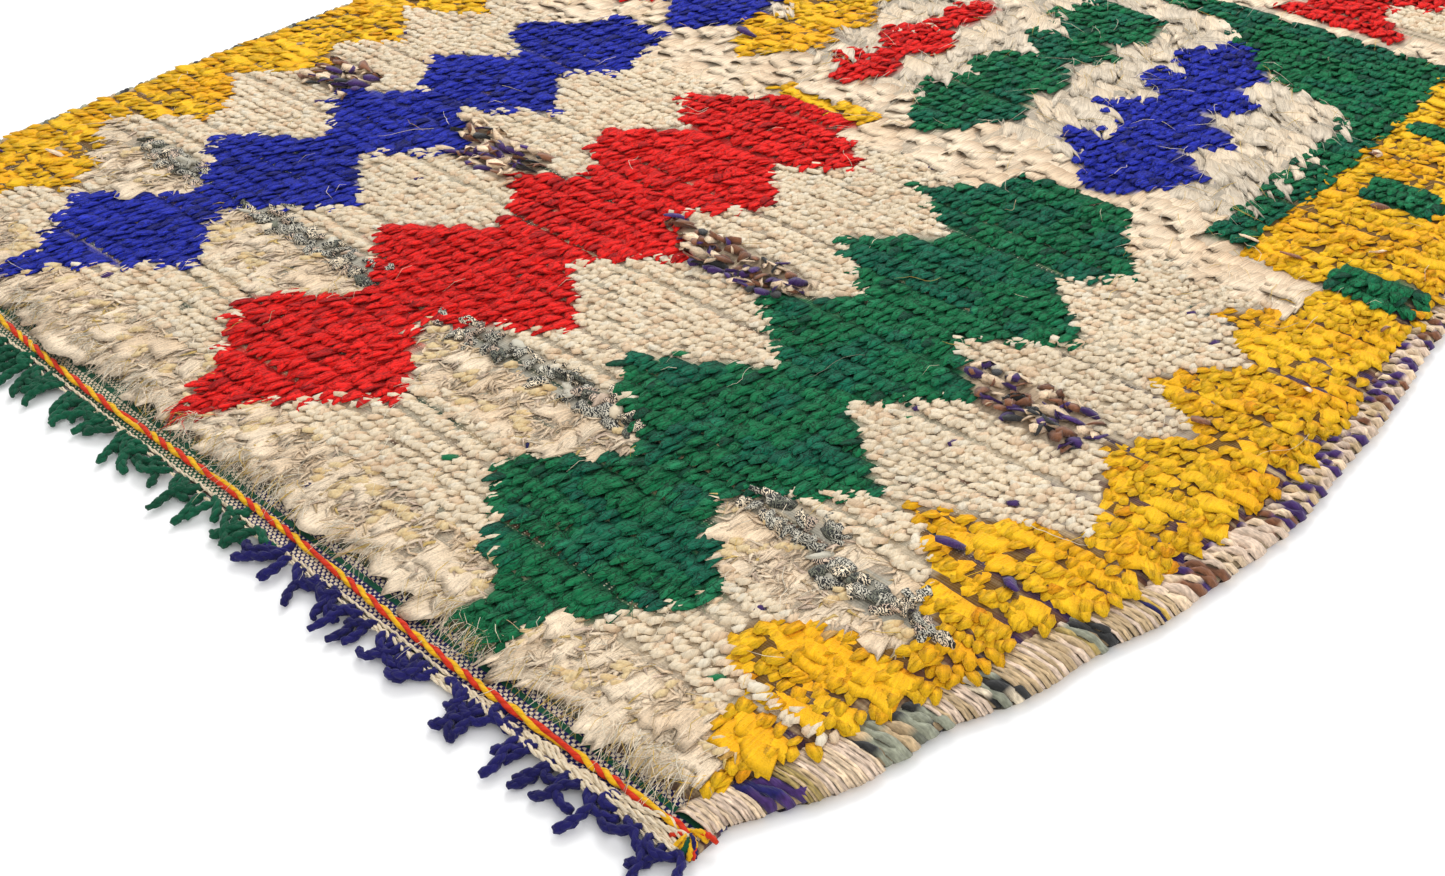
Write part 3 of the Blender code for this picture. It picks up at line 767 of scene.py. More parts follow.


# A blend's fifth value, where given, is its painted shade at the roots; the others take (0.85, 0.85, 0.85).
BLENDS = {
    Yarn.CREAM: Blend(CREAM, ((0.12, CREAM_WHITE), (0.20, CREAM_WARM), (0.003, PURPLE), (0.001, GREEN)),
                      0.035, 0.05, (0.78, 0.71, 0.63)),
    Yarn.SHAG: Blend(SHAG_WHITE, ((0.20, CREAM_WHITE), (0.25, FLEECE_TONE)), 0.025, 0.04,
                     (0.86, 0.82, 0.76), FLEECE_TONE),
    Yarn.BEIGE: Blend(FLEECE_TONE, ((0.26, CREAM_WARM), (0.14, PINK_BEIGE), (0.06, TAN), (0.06, GOLD_PALE),
                                    (0.004, NAVY)), 0.035, 0.06, (0.92, 0.89, 0.84), CREAM_WARM),
    Yarn.GREEN: Blend(GREEN, ((0.10, GREEN_DARK), (0.05, GREEN_LIGHT)), 0.045, 0.10, (0.45, 0.50, 0.50),
                      GREEN_COOL),
    Yarn.RED: Blend(RED, ((0.10, RED_DARK),), 0.05, 0.06, (0.85, 0.65, 0.65)),
    Yarn.BLUE: Blend(BLUE, ((0.12, BLUE_DARK),), 0.04, 0.08, (0.45, 0.45, 0.55)),
    Yarn.YELLOW: Blend(YELLOW, ((0.04, YELLOW_DARK), (0.006, TAN)), 0.035, 0.05, (1.00, 0.80, 0.52),
                       YELLOW_DEEP),
    Yarn.SHRED: Blend(CREAM_WARM, ((0.30, PURPLE), (0.30, BROWN), (0.08, CHARCOAL)), 0.12, 0.05),
    Yarn.MATTED: Blend(FLEECE_TONE, ((0.30, CREAM_WARM), (0.12, CREAM)), 0.025, 0.05, (0.60, 0.52, 0.46),
                       CREAM_WARM),
    Yarn.GREY: Blend(PRINT_PALE, ((0.14, PINK_BEIGE), (0.10, SAGE * 0.6), (0.24, CREAM)), 0.10, 0.08),
}
UNDYED = (Yarn.CREAM, Yarn.BEIGE)


class Plan:
    """The rug's outline, read from the frame's solids."""

    def __init__(self) -> None:
        """Reads where the wrapped edges and the laid cord lie."""
        self.right_y, self.cloth_right, self.right_edge = self._sections("selvedge_right", 1, 0)
        self.left_y, self.left_edge, self.cloth_left = self._sections("selvedge_left", 1, 0)
        self.cord_x, self.cord_back, self.cord_front = self._sections("end_cord", 0, 1)
        pile_low, pile_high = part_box("pile_field")
        self.woven_edge, self.far_edge = pile_low.y, pile_high.y
        self.pile_front, self.pile_back = self.right_y[0], self.right_y[-1]

    @staticmethod
    def _sections(node: str, along: int, across: int) -> tuple[Array, Array, Array]:
        """A long solid's sections.

        Args:
            node: the solid's name.
            along: the axis it runs on, 0 or 1.
            across: the axis it is measured on.

        Returns:
            Each section's place, and its lowest and highest reach across.
        """
        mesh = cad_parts[node].data
        points = np.zeros(len(mesh.vertices) * 3, np.float32)
        mesh.vertices.foreach_get("co", points)
        points = points.reshape(-1, 3).astype(float)
        places, group = np.unique(np.round(points[:, along], 4), return_inverse=True)
        low, high = np.full(len(places), np.inf), np.full(len(places), -np.inf)
        np.minimum.at(low, group, points[:, across])
        np.maximum.at(high, group, points[:, across])
        return places, low, high

    def cloth(self, y: Array) -> tuple[Array, Array]:
        """Where the cloth ends on the left and on the right at y."""
        return np.interp(y, self.left_y, self.cloth_left), np.interp(y, self.right_y, self.cloth_right)

    def outer(self, y: Array) -> tuple[Array, Array]:
        """Where the wrapped rug ends on the left and on the right at y."""
        return np.interp(y, self.left_y, self.left_edge), np.interp(y, self.right_y, self.right_edge)

    def cord_line(self, x: Array) -> Array:
        """Where the laid cord's middle is along the rug at x."""
        return np.interp(x, self.cord_x, (self.cord_back + self.cord_front) / 2)


class Chart:
    """Which yarn is knotted where."""

    def yarns(self, x: Array, y: Array) -> Array:
        """The yarn at each place: the ground's fields first, then the figures over them.

        Args:
            x: places across.
            y: places along.

        Returns:
            A Yarn's number for each place.
        """
        found = np.full(x.shape, int(Yarn.CREAM))
        for field in FIELDS:
            found[(y >= field.start) & (y < field.end) & (x >= field.left) & (x < field.right)] = field.yarn
        for drawn in FIGURES:
            along, lefts, rights = drawn.rows.T
            left, right = np.interp(y, along, lefts), np.interp(y, along, rights)
            found[(y >= along[0]) & (y <= along[-1]) & (x >= left) & (x <= right)] = drawn.yarn
        return found


@dataclass
class Pile:
    """The knotted pile: rows of knots from side to side, each a lock that leans over to the fringe.

    Leans are in degrees. Each share is a threshold of unevenness or a part of a length.
    """

    plan: Plan
    chart: Chart
    first_row: float = -0.9440
    last_row: float = 0.9960
    row_jitter: float = 0.0008
    across_jitter: float = 0.0010
    pairing: float = 0.0010
    stagger: float = 0.25
    ragged: float = 0.0018
    far_spread: float = 0.40
    root_height: float = 0.0112
    root_jitter: float = 0.0005
    shag_rise: float = 0.0035
    open_rows: tuple[float, ...] = (
        -0.862, -0.838, -0.815, -0.77, -0.728, -0.7, -0.668, -0.64, -0.612, -0.575, -0.548, -0.5, -0.455,
        -0.43, -0.405, -0.335, -0.3, -0.25, -0.09,
        0.33, 0.4, 0.47, 0.545, 0.62, 0.68, 0.75, 0.8, 0.86, 0.92)
    open_gap: float = 0.0052
    open_reach: float = 0.05
    tip_lead: float = 0.0080
    front_trim: float = 0.42
    lean_left: float = 30.0
    lean_right: float = 62.0
    lean_reach: float = 0.026
    edge_clear: float = 0.006
    worn_share: float = 0.80
    thin_reach: float = 0.028
    thin_share: float = 0.26
    stray_share: float = 0.010
    gold_share: float = 0.52
    gold_strength: float = 0.55
    most_triangles: int = 190_000

    def spread(self, y: Array) -> Array:
        """How much wider apart and larger the knots are: 1 near the fringe, and more at the far end."""
        return 1 + self.far_spread * ease(y, 0.20, 0.60)

    def bed(self, y: Array) -> Array:
        """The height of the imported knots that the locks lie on, more in the shaggy middle panel."""
        return self.root_height + self.shag_rise * ease(y, -0.26, -0.10) * (1 - ease(y, 0.24, 0.42))

    def rows(self, pitch: float) -> Array:
        """Where each row of knots lies: a little uneven, and wider apart at the open rows.

        Args:
            pitch: from row to row near the fringe.

        Returns:
            The rows' places along the rug.
        """
        rng = np.random.default_rng(41)
        guide = np.linspace(self.first_row, self.last_row, 2000)
        count = np.concatenate([[0], np.cumsum(np.diff(guide) / (pitch * self.spread(guide[1:])))])
        places = np.interp(np.arange(int(count[-1]) + 1), count, guide)
        places = places + rng.uniform(-1, 1, len(places)) * self.row_jitter
        for gap in self.open_rows:
            places += self.open_gap * (places > gap) * (1 - ease(places, gap, gap + self.open_reach))
        return places

    @staticmethod
    def row_sway(x: Array, y: Array) -> Array:
        """How far a row strays from straight: long waves, and a sag towards the right near the fringe."""
        sag = -0.020 * ease(x, 0.30, 0.56) * ease(y, -0.93, -0.86) * (1 - ease(y, -0.74, -0.60))
        return sag + 0.0022 * drift(x, y, 0.16, 7) + 0.0012 * drift(x, y, 0.045, 8)

    def lean_out(self, x: Array, y: Array) -> Array:
        """How far locks turn towards the side that they are near.

        Args:
            x: places across.
            y: places along.

        Returns:
            Degrees, more than 0 to the right.
        """
        left, right = self.plan.cloth(y)
        outward = self.lean_right * np.exp(-(right - x) / self.lean_reach)
        return outward - self.lean_left * np.exp(-(x - left) / self.lean_reach)

    def worn(self, x: Array, y: Array) -> Array:
        """Whether the pile is worn away: in small spots of the undyed ground, and along the right.

        Args:
            x: places across.
            y: places along.

        Returns:
            True or False for each place.
        """
        undyed = np.isin(self.chart.yarns(x, y), UNDYED)
        spots = undyed & (drift(x, y * 1.6, 0.011, 35) > self.worn_share)
        inward = self.plan.cloth(y)[1] - x
        edge = (inward < self.thin_reach) & (drift(x, y, 0.0085, 37) > self.thin_share + 9 * inward)
        return spots | (edge & (y > -0.90))

    def trimmed(self, x: Array, y: Array) -> Array:
        """The share of its length that a lock keeps: less at the front, by clumps.

        Args:
            x: places across.
            y: places along.

        Returns:
            A share for each place.
        """
        first = 1 - ease(y, self.first_row, self.first_row + 0.03)
        clump = 0.5 + 0.9 * drift(x, 0 * x, 0.017, 38)
        return 1 - self.front_trim * first * clump.clip(0, 1.3) * (0.35 + 0.65 * ease(x, -0.35, 0.15))

    def knots(self, yarn: Yarn) -> tuple[Array, Array]:
        """The places of one yarn's knots: rows at the yarn's own pitch, kept where the chart says.

        A few torn pieces stray into the yellow, and cream nubs lie in patches of the beige.

        Args:
            yarn: which yarn.

        Returns:
            Places across and along.
        """
        cut = CUTS[yarn]
        rng = np.random.default_rng(100 + yarn)
        rows = self.rows(cut.row)
        turns = (-1.0) ** np.arange(len(rows))
        rows = rows + self.pairing * turns
        left, right = self.plan.cloth(rows)
        count = np.round((right - left) / (cut.pitch * self.spread(rows)))[:, None]
        order = np.arange(int(count.max()))[None] + np.zeros_like(count)
        share = (order + 0.5 + self.stagger * turns[:, None]) / count
        x = left[:, None] + (right - left)[:, None] * share + rng.normal(0, self.across_jitter, share.shape)
        y = rows[:, None] + np.zeros_like(x)
        y = y + self.row_sway(x, y) + rng.normal(0, cut.stray, x.shape)
        ragged = rng.normal(0, self.ragged, x.shape)
        inner = (x > left[:, None] + self.edge_clear) & (x < right[:, None] - 2 * self.edge_clear)
        tied = self.chart.yarns(x + ragged, y - self.tip_lead)
        few = rng.uniform(0, 1, x.shape) < self.stray_share
        stray = (yarn is Yarn.SHRED) & (tied == Yarn.YELLOW) & few
        gold = (yarn is Yarn.CREAM) & (tied == Yarn.BEIGE) & (drift(x, y, 0.014, 39) > self.gold_share)
        kept = (order < count) & inner & ~self.worn(x, y) & ((tied == yarn) | stray | gold)
        return x[kept], y[kept]

    def tufts(self, yarn: Yarn) -> tuple[Swept, Array]:
        """Every lock of one yarn.

        A lock's path starts steep, lies over towards the fringe and curls sideways.

        Args:
            yarn: which yarn.

        Returns:
            The locks, and the tint of each point.
        """
        cut = CUTS[yarn]
        x, y = (np.repeat(place, cut.locks) for place in self.knots(yarn))
        count, rings = len(x), len(cut.wide_profile)
        rng = np.random.default_rng(200 + yarn)
        share = np.linspace(0, 1, rings)
        fan = np.tile(np.linspace(-1, 1, cut.locks) if cut.locks > 1 else [0.0], count // cut.locks)
        yaw = (drift(x, y, 0.05, 11) * 0.6 * cut.yaw + rng.normal(0, 0.55, count) * cut.yaw
               + fan * cut.fan / 2 + self.lean_out(x, y) + cut.lean)
        curl = rng.normal(0, 1, count) * cut.curl
        heading = np.radians(yaw[:, None] + curl[:, None] * share[None])
        lie = cut.lie + rng.normal(0, 7, count)
        rise = np.radians(cut.rise + (lie - cut.rise)[:, None] * share[None] ** 0.8)
        size = (1 + 0.10 * drift(x, y, 0.035, 12) + rng.normal(0, 0.08, count)).clip(0.6, 1.35)
        size = size * self.spread(y)
        step = (cut.length * size * self.trimmed(x, y))[:, None] / (rings - 1)
        flat, lift = np.cos(rise) * step, np.sin(rise) * step
        moves = np.stack([np.sin(heading) * flat, -np.cos(heading) * flat, lift], axis=-1)
        path = np.cumsum((moves[:, :-1] + moves[:, 1:]) / 2, axis=1)
        path = np.concatenate([np.zeros((count, 1, 3)), path], axis=1)
        height = self.bed(y) + rng.normal(0, self.root_jitter, count)
        centre = np.stack([x + fan * 0.28 * cut.pitch, y, height], axis=-1)[:, None] + path
        wide = cut.width / 2 * size[:, None] * np.array(cut.wide_profile)
        thick = cut.thick / 2 * size[:, None] * np.array(cut.thick_profile)
        roll = np.radians(rng.normal(0, cut.roll, count))[:, None] * share[None]
        swept = sweep(centre, wide, thick, cut.sides, roll, cut.knobble, 300 + yarn)
        tint = self.tints(yarn, x, y, rng)
        if yarn is Yarn.CREAM:
            stained = self.chart.yarns(x, y - self.tip_lead) == Yarn.BEIGE
            tint[stained, :3] += self.gold_strength * (np.array(GOLD_PALE) - tint[stained, :3])
        tint = np.repeat(tint, rings * cut.sides, axis=0)
        # Painted shade: each lock is darker towards its root, where it lies under the row before.
        tint[:, :3] *= np.tile(np.repeat(BLENDS[yarn].depth(share), cut.sides, axis=0), (count, 1))
        return swept, tint

    @staticmethod
    def tints(yarn: Yarn, x: Array, y: Array, rng: Chance) -> Array:
        """Each lock's colour, with its lot number from 0 to 1 as the fourth value.

        Args:
            yarn: which yarn.
            x: places across.
            y: places along.
            rng: where chance comes from.

        Returns:
            Four values for each lock.
        """
        blend = BLENDS[yarn]
        count = len(x)
        tint = np.tile(blend.main, (count, 1))
        pick = rng.uniform(0, 1, count) + 0.10 * drift(x, y, 0.03, 21)
        start = 0.0
        for share, colour in blend.others:
            tint[(pick >= start) & (pick < start + share)] = colour
            start += share
        if blend.cast is not None:
            tint += (blend.cast - tint) * ease(drift(x, y, 0.026, 24), -0.2, 0.7)[:, None] * 0.8
        light = 1 + rng.normal(0, blend.vary, count) + blend.patch * drift(x, y, 0.09, 22)
        return with_lots(tint * light.clip(0.5, 1.4)[:, None], rng)

    def build(self, finishes: dict[Yarn, Material]) -> list[Piece]:
        """Makes the pile's pieces, each yarn in runs small enough for one piece.

        Args:
            finishes: the material of each yarn.

        Returns:
            The pieces.
        """
        pieces = []
        for yarn, cut in CUTS.items():
            swept, tint = self.tufts(yarn)
            rings = len(cut.wide_profile)
            per_lock = rings * cut.sides
            locks = len(tint) // per_lock
            lock_triangles = 2 * (rings - 1) * cut.sides + 2 * (cut.sides - 2)
            runs = math.ceil(locks * lock_triangles / self.most_triangles)
            quads = swept.faces[0].reshape(locks, -1, 4)
            caps = swept.faces[1].reshape(2, locks, -1)
            for run in range(runs):
                low, high = locks * run // runs, locks * (run + 1) // runs
                base, some = low * per_lock, slice(low * per_lock, high * per_lock)
                faces = [quads[low:high].reshape(-1, 4) - base,
                         caps[:, low:high].reshape(-1, cut.sides) - base]
                part = Swept(swept.points[some], swept.yarn[some], faces)
                name = f"pile_{yarn.name.lower()}_{run + 1}"
                pieces.append(part.put(name, tint[some], finishes[yarn], "pile_wool"))
        return pieces


@dataclass(frozen=True)
class Band:
    """How the rows of one felted yarn lie: sizes in metres, angles in degrees, and shares of length."""

    yarn: Yarn
    row: float
    length: float
    thick: float
    rise: float
    droop: float
    cell: float
    scallop: float
    crease: float
    sway: float
    step: float
    break_share: float
    lean: float
    yaw: float


# Yarn, row, length, thick, rise, droop and cell; scallop, crease, sway, step, break share, lean and yaw.
BANDS = (
    Band(Yarn.YELLOW, 0.014, 0.021, 0.0026, 20.0, -8.0, 0.007,
         0.6, 0.004, 0.005, 0.0074, 0.012, -6.0, 18.0),
    Band(Yarn.MATTED, 0.0145, 0.033, 0.0026, 11.5, -1.0, 0.009,
         0.3, 0.0022, 0.0036, 0.0038, 0.0, -4.0, 14.0),
    Band(Yarn.BEIGE, 0.015, 0.031, 0.0028, 11.0, -4.0, 0.0075,
         0.6, 0.0016, 0.005, 0.004, 0.02, -6.0, 24.0),
    Band(Yarn.SHAG, 0.015, 0.036, 0.0032, 17.0, -8.0, 0.0078,
         0.8, 0.0044, 0.007, 0.0034, 0.02, 32.0, 30.0),
)


@dataclass
class BandRows:
    """Pile that has felted together: each row is one band that leans over the last, with a ragged edge."""

    plan: Plan
    chart: Chart
    pile: Pile
    band: Band
    half_reach: float = 0.62
    ragged: float = 0.0022
    stations: tuple[float, ...] = (0.0, 0.35, 0.70, 1.0)
    halves: tuple[float, ...] = (0.9, 1.0, 0.9, 0.36)

    def grid(self) -> tuple[Array, Array, Array]:
        """The rows' places on one grid of x for every row, and where there is pile.

        Returns:
            Places across and along, and True where the row is knotted, each as (rows, columns).
        """
        band, pile = self.band, self.pile
        rng = np.random.default_rng(400 + band.yarn)
        rows = pile.rows(band.row)
        x = np.arange(-self.half_reach, self.half_reach, band.step)[None] + np.zeros((len(rows), 1))
        y = rows[:, None] + pile.row_sway(x, rows[:, None] + 0 * x)
        left, right = self.plan.cloth(y)
        inner = (x > left + pile.edge_clear) & (x < right - 2 * pile.edge_clear)
        ragged = self.ragged * drift(x, y * 5, 0.006, 41)
        there = self.chart.yarns(x + ragged, y - pile.tip_lead) == band.yarn
        whole = rng.uniform(0, 1, x.shape) > band.break_share
        return x, y, there & inner & whole & ~pile.worn(x, y)

    def build(self, material: Material) -> Piece:
        """Makes the bands.

        A band's section starts at the row, climbs at rise and turns down to droop at its edge. Its length
        is scalloped by the size of a smooth unevenness, whose zeros are the notches between flakes, and
        another unevenness folds it up and down, more towards the edge. Top and underside close on the
        edge and at the root, and each run of a band has an end face at both ends.

        Args:
            material: its finish.

        Returns:
            The piece.
        """
        band, pile = self.band, self.pile
        x, y, kept = self.grid()
        number = np.arange(len(x))[:, None]
        notch = np.abs(drift(x + 0.371 * number, y * 0 + 1.3 * number, band.cell, 43)).clip(0, 0.8)
        fold = np.abs(drift(x + 0.713 * number, y * 0 + 0.9 * number, band.cell * 0.8, 44)) - 0.35
        wander = drift(x, y, band.cell * 1.3, 45)
        scallops = 1 - 0.42 * band.scallop + band.scallop * notch
        length = band.length * pile.spread(y) * scallops * pile.trimmed(x, y)
        turned = pile.lean_out(x, y) + band.lean + band.yaw * drift(x, y, 0.020, 46)
        heading = np.radians(turned)[..., None]
        share = np.array(self.stations)
        angle = np.radians(band.rise + (band.droop - band.rise) * share ** 0.8 + 10 * wander[..., None])
        step = np.diff(share, prepend=0.0) * length[..., None]
        flat, lift = np.cumsum(np.cos(angle) * step, axis=-1), np.cumsum(np.sin(angle) * step, axis=-1)
        lift = lift + band.crease * fold[..., None] * share
        half = band.thick / 2 * np.array(self.halves) * (1 + 0.25 * wander[..., None])
        across = x[..., None] + np.sin(heading) * flat + band.sway * wander[..., None] * share
        along = y[..., None] - np.cos(heading) * flat
        height = pile.bed(y)[..., None] + lift
        top = np.stack([across, along, height + half], -1)
        under = np.stack([across, along, height - half], -1)[..., [2, 0], :]
        sides = np.concatenate([half, -half[..., [2, 0]]], axis=-1)
        reach = np.concatenate([share, share[[2, 0]]])
        yarn = np.stack([x[..., None] + 0 * sides, sides, reach * length[..., None]], -1)
        values = {"tint": self.tints(x, y, number, reach), "yarn": yarn}
        return self.stitch(kept, np.concatenate([top, under], axis=2), values, material)

    def tints(self, x: Array, y: Array, number: Array, reach: Array) -> Array:
        """Each point's colour, with a lot number that changes from row to row as the fourth value.

        Args:
            x: places across.
            y: places along.
            number: the rows' numbers.
            reach: how far each section point is from the root, as a share.

        Returns:
            Four values for each row, column and section point.
        """
        blend = BLENDS[self.band.yarn]
        cast = blend.main if blend.cast is None else blend.cast
        lean = ease(drift(x, y, 0.026, 24), -0.2, 0.7)[..., None]
        colour = blend.main + (cast - blend.main) * 0.8 * lean
        flakes = drift(x + 0.371 * number, y, self.band.cell, 47)
        light = 1 + blend.patch * drift(x, y, 0.09, 22) + 0.06 * flakes
        # Painted shade: each band is darker towards its root, where it lies under the row before.
        tint = (colour * light[..., None])[:, :, None] * blend.depth(reach)
        lots = np.broadcast_to((number * 0.37 % 1)[..., None, None], (*tint.shape[:3], 1))
        return np.concatenate([tint, lots], axis=-1)

    def stitch(self, kept: Array, points: Array, values: dict[str, Array], material: Material) -> Piece:
        """Joins neighbouring sections where both are there, closes each run's ends and drops the rest.

        Args:
            kept: where there is pile, as (rows, columns).
            points: the sections' points, as (rows, columns, points in a section, 3).
            values: their attributes by name.
            material: the finish.

        Returns:
            The piece.
        """
        joined = kept[:, :-1] & kept[:, 1:]
        index = np.arange(points.size // 3).reshape(points.shape[:3])
        here, there = index[:, :-1][joined], index[:, 1:][joined]
        quads = np.stack([here, there, np.roll(there, -1, 1), np.roll(here, -1, 1)], -1).reshape(-1, 4)
        before = np.pad(joined, ((0, 0), (1, 0)))[:, :-1]
        after = np.pad(joined, ((0, 0), (0, 1)))[:, 1:]
        ends = np.concatenate([index[:, :-1][joined & ~before], index[:, 1:][joined & ~after][:, ::-1]])
        used = np.unique(np.concatenate([here.ravel(), there.ravel()]))
        number = np.full(index.size, -1)
        number[used] = np.arange(len(used))
        faces = [number[quads][:, ::-1], number[ends][:, ::-1]]
        values = {key: value.reshape(index.size, -1)[used] for key, value in values.items()}
        name = f"felt_{self.band.yarn.name.lower()}"
        return put_mesh(name, points.reshape(-1, 3)[used], faces, values, material)


@dataclass
class GroundCloth:
    """The flat weave with the knots' roots packed on it, as one closed sheet."""

    plan: Plan
    chart: Chart
    pile: Pile
    thick: float = 0.0040
    columns: int = 78
    row_step: float = 0.0130
    lift: float = 0.0016
    fleece_lift: float = -0.0004
    uneven: float = 0.0007
    # Painted shade between the locks: shade darkens each yarn's own colour on the roots, and leaf_shade
    # darkens the mix of brown weft and deep yellow under the yellow.
    shade: float = 0.66
    leaf_shade: float = 0.28
    gap_share: float = 0.30
    gap_ahead: float = 0.0060
    gap_width: float = 0.0045

    def build(self, material: Material) -> Piece:
        """Makes the sheet.

        Its top is a grid of x across and y along, whose rows sway as the knots' rows do. In the pile it
        lies at bed(y) + lift, with unevenness, and it sinks to thick at the two woven ends. Its underside
        lies flat on the floor in strips from side to side, and its edges are closed all round.

        Args:
            material: its finish.

        Returns:
            The piece.
        """
        plan, pile = self.plan, self.pile
        low, high = plan.woven_edge, plan.far_edge
        beside = np.array((-1.0, 0.0, 1.0)) * self.gap_width
        gaps = np.array(pile.open_rows)[:, None] - self.gap_ahead + beside
        even = np.linspace(low, high, int((high - low) / self.row_step))
        y = np.unique(np.concatenate([even, gaps.ravel()]))
        left, right = plan.cloth(y)
        ends = (y < plan.pile_front) | (y > plan.pile_back)
        outer_left, outer_right = plan.outer(y)
        left, right = np.where(ends, outer_left, left), np.where(ends, outer_right, right)
        x = left[:, None] + (right - left)[:, None] * np.linspace(0, 1, self.columns + 1)
        inside = ease(y, low + 0.02, low + 0.06) * (1 - ease(y, high - 0.06, high - 0.02))
        along = y[:, None] + pile.row_sway(x, y[:, None] + 0 * x) * inside[:, None]
        packed = ease(along, plan.pile_front + 0.001, plan.pile_front + 0.012)
        packed = packed * (1 - ease(along, plan.pile_back - 0.012, plan.pile_back - 0.002))
        fleece = np.isin(self.chart.yarns(x, along - pile.tip_lead), (Yarn.BEIGE, Yarn.SHAG))
        relief = self.lift + self.fleece_lift * fleece + self.uneven * drift(x, along, 0.02, 31)
        margin = 1 - 0.25 * np.exp(-(x - left[:, None]) / 0.006)
        margin = margin - 0.60 * np.exp(-(right[:, None] - x) / 0.012)
        z = self.thick + packed * (pile.bed(along) * margin + relief - self.thick)
        top = np.stack([x, along, z], axis=-1).reshape(-1, 3)
        under = np.stack([np.stack([side, y, 0 * y], -1) for side in (left, right)], axis=1).reshape(-1, 3)
        index = np.arange(len(top)).reshape(len(y), -1)
        foot = len(top) + np.arange(len(under)).reshape(len(y), 2)
        faces = [
            sheet_faces(index),
            np.stack([foot[:-1, 0], foot[1:, 0], foot[1:, 1], foot[:-1, 1]], -1),
            np.stack([index[:-1, 0], index[1:, 0], foot[1:, 0], foot[:-1, 0]], -1),
            np.stack([index[1:, -1], index[:-1, -1], foot[:-1, 1], foot[1:, 1]], -1),
            np.concatenate([index[0, ::-1], foot[0]])[None],
            np.concatenate([index[-1], foot[-1, ::-1]])[None],
        ]
        tint = np.concatenate([self.shaded_root_tint(x, along, packed), np.tile([*CREAM, 1.0], (len(under), 1))])
        points = np.concatenate([top, under])
        piece = put_mesh("ground_cloth", points, faces, {"tint": tint}, material)
        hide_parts("pile_field")
        return piece

    def shaded_root_tint(self, x: Array, y: Array, packed: Array) -> Array:
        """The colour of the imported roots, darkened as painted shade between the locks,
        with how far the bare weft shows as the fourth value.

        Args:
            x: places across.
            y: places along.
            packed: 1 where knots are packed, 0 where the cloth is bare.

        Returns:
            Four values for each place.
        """
        yarns = self.chart.yarns(x, y)
        # Painted shade: the roots take their yarn's own colour, darkened because the gaps between the locks
        # lie in shade.
        roots = np.array([BLENDS[yarn].main for yarn in Yarn])[yarns] * self.shade
        # Under the yellow: partly the brown weft's own colour mixed with deep yellow, partly painted shade
        # from the darkening.
        leaf = (BROWN + YELLOW_DEEP) / 2 * self.leaf_shade
        tint = np.where((yarns == Yarn.YELLOW)[..., None], leaf, roots)
        bare = self.gap_share * np.isin(yarns, UNDYED)
        for gap in self.pile.open_rows:
            off = y - self.pile.row_sway(x, y) - gap + self.gap_ahead
            near = np.exp(-(off / (0.7 * self.gap_width)) ** 2)
            bare = np.maximum(bare, near * ease(drift(x, y, 0.09, 34), -0.6, 0.0))
        inward = self.plan.cloth(y)[1] - x + 0.012 * drift(x, y, 0.012, 36)
        for reason in (self.pile.worn(x, y), ease(inward, 0.040, 0.020), 1 - packed):
            bare = np.maximum(bare, reason)
        return np.concatenate([tint, bare[..., None]], axis=-1).reshape(-1, 4)


def weave_material(name: str) -> Material:
    """The ground weave: dark wefts in runs of colour, crossed by pale warps 5 mm apart.

    Args:
        name: the material's name.

    Returns:
        The material, which shows as far as the tint attribute's fourth value says, and else its colour.
    """
    shader = Shader(name, 0.95, 0.1)
    place = shader.place()
    axes = shader.split(place)
    run = shader.drawn(place, (6.0, 70.0, 1.0))
    edge = shader.ramp(axes[0], 0.42, 0.50)
    dark = shader.blend(edge, GREEN_DARK * 0.45, PURPLE * 0.6)
    dark = shader.blend(shader.ramp(shader.noise(run, 1.0), 0.42, 0.58), dark, BROWN * 0.55)
    weft = shader.blend(shader.ramp(shader.noise(run, 1.7, 1.0), 0.50, 0.62), dark, TAN * 0.8)
    warp = shader.math("PINGPONG", axes[0], 0.0025)
    picks = shader.math("PINGPONG", axes[1], 0.0011)
    over = shader.math("GREATER_THAN", picks, 0.0006)
    shows = shader.times(shader.math("GREATER_THAN", warp, 0.0019), over)
    shows = shader.times(shows, shader.minus(1.0, edge))
    roots = shader.attribute("tint").outputs
    colour = shader.blend(roots["Alpha"], roots["Color"], shader.blend(shows, weft, CREAM * 0.85))
    fibres = shader.noise(shader.drawn(place, (1.0, 0.2, 1.0)), 420.0, 3.0)
    height = shader.plus(shader.times(picks, 500.0), shader.times(fibres, 3.0))
    return shader.finish(colour, shader.ramp(fibres, 0.3, 0.7, 0.72, 1.12), height, 0.0007)


def printed_material(name: str) -> Material:
    """Thin cloth with wandering black stripes on the yarn's own colour; a tenth of it is left plain.

    Args:
        name: the material's name.

    Returns:
        The material.
    """
    shader = Shader(name, 0.95, 0.1)
    tint = shader.attribute("tint").outputs
    place = shader.place()
    inputs = {"Vector": place, "Scale": 165.0, "Distortion": 15.0, "Detail": 2.0, "Detail Scale": 1.4}
    stripes = shader.add("TexWave", inputs, bands_direction="DIAGONAL").outputs["Fac"]
    black = shader.ramp(stripes, 0.40, 0.50)
    printed = shader.math("GREATER_THAN", tint["Alpha"], 0.10)
    colour = shader.blend(shader.times(black, printed), tint["Color"], CHARCOAL)
    return shader.finish(colour, 1.0, shader.noise(place, 380.0, 3.0), 0.0014)


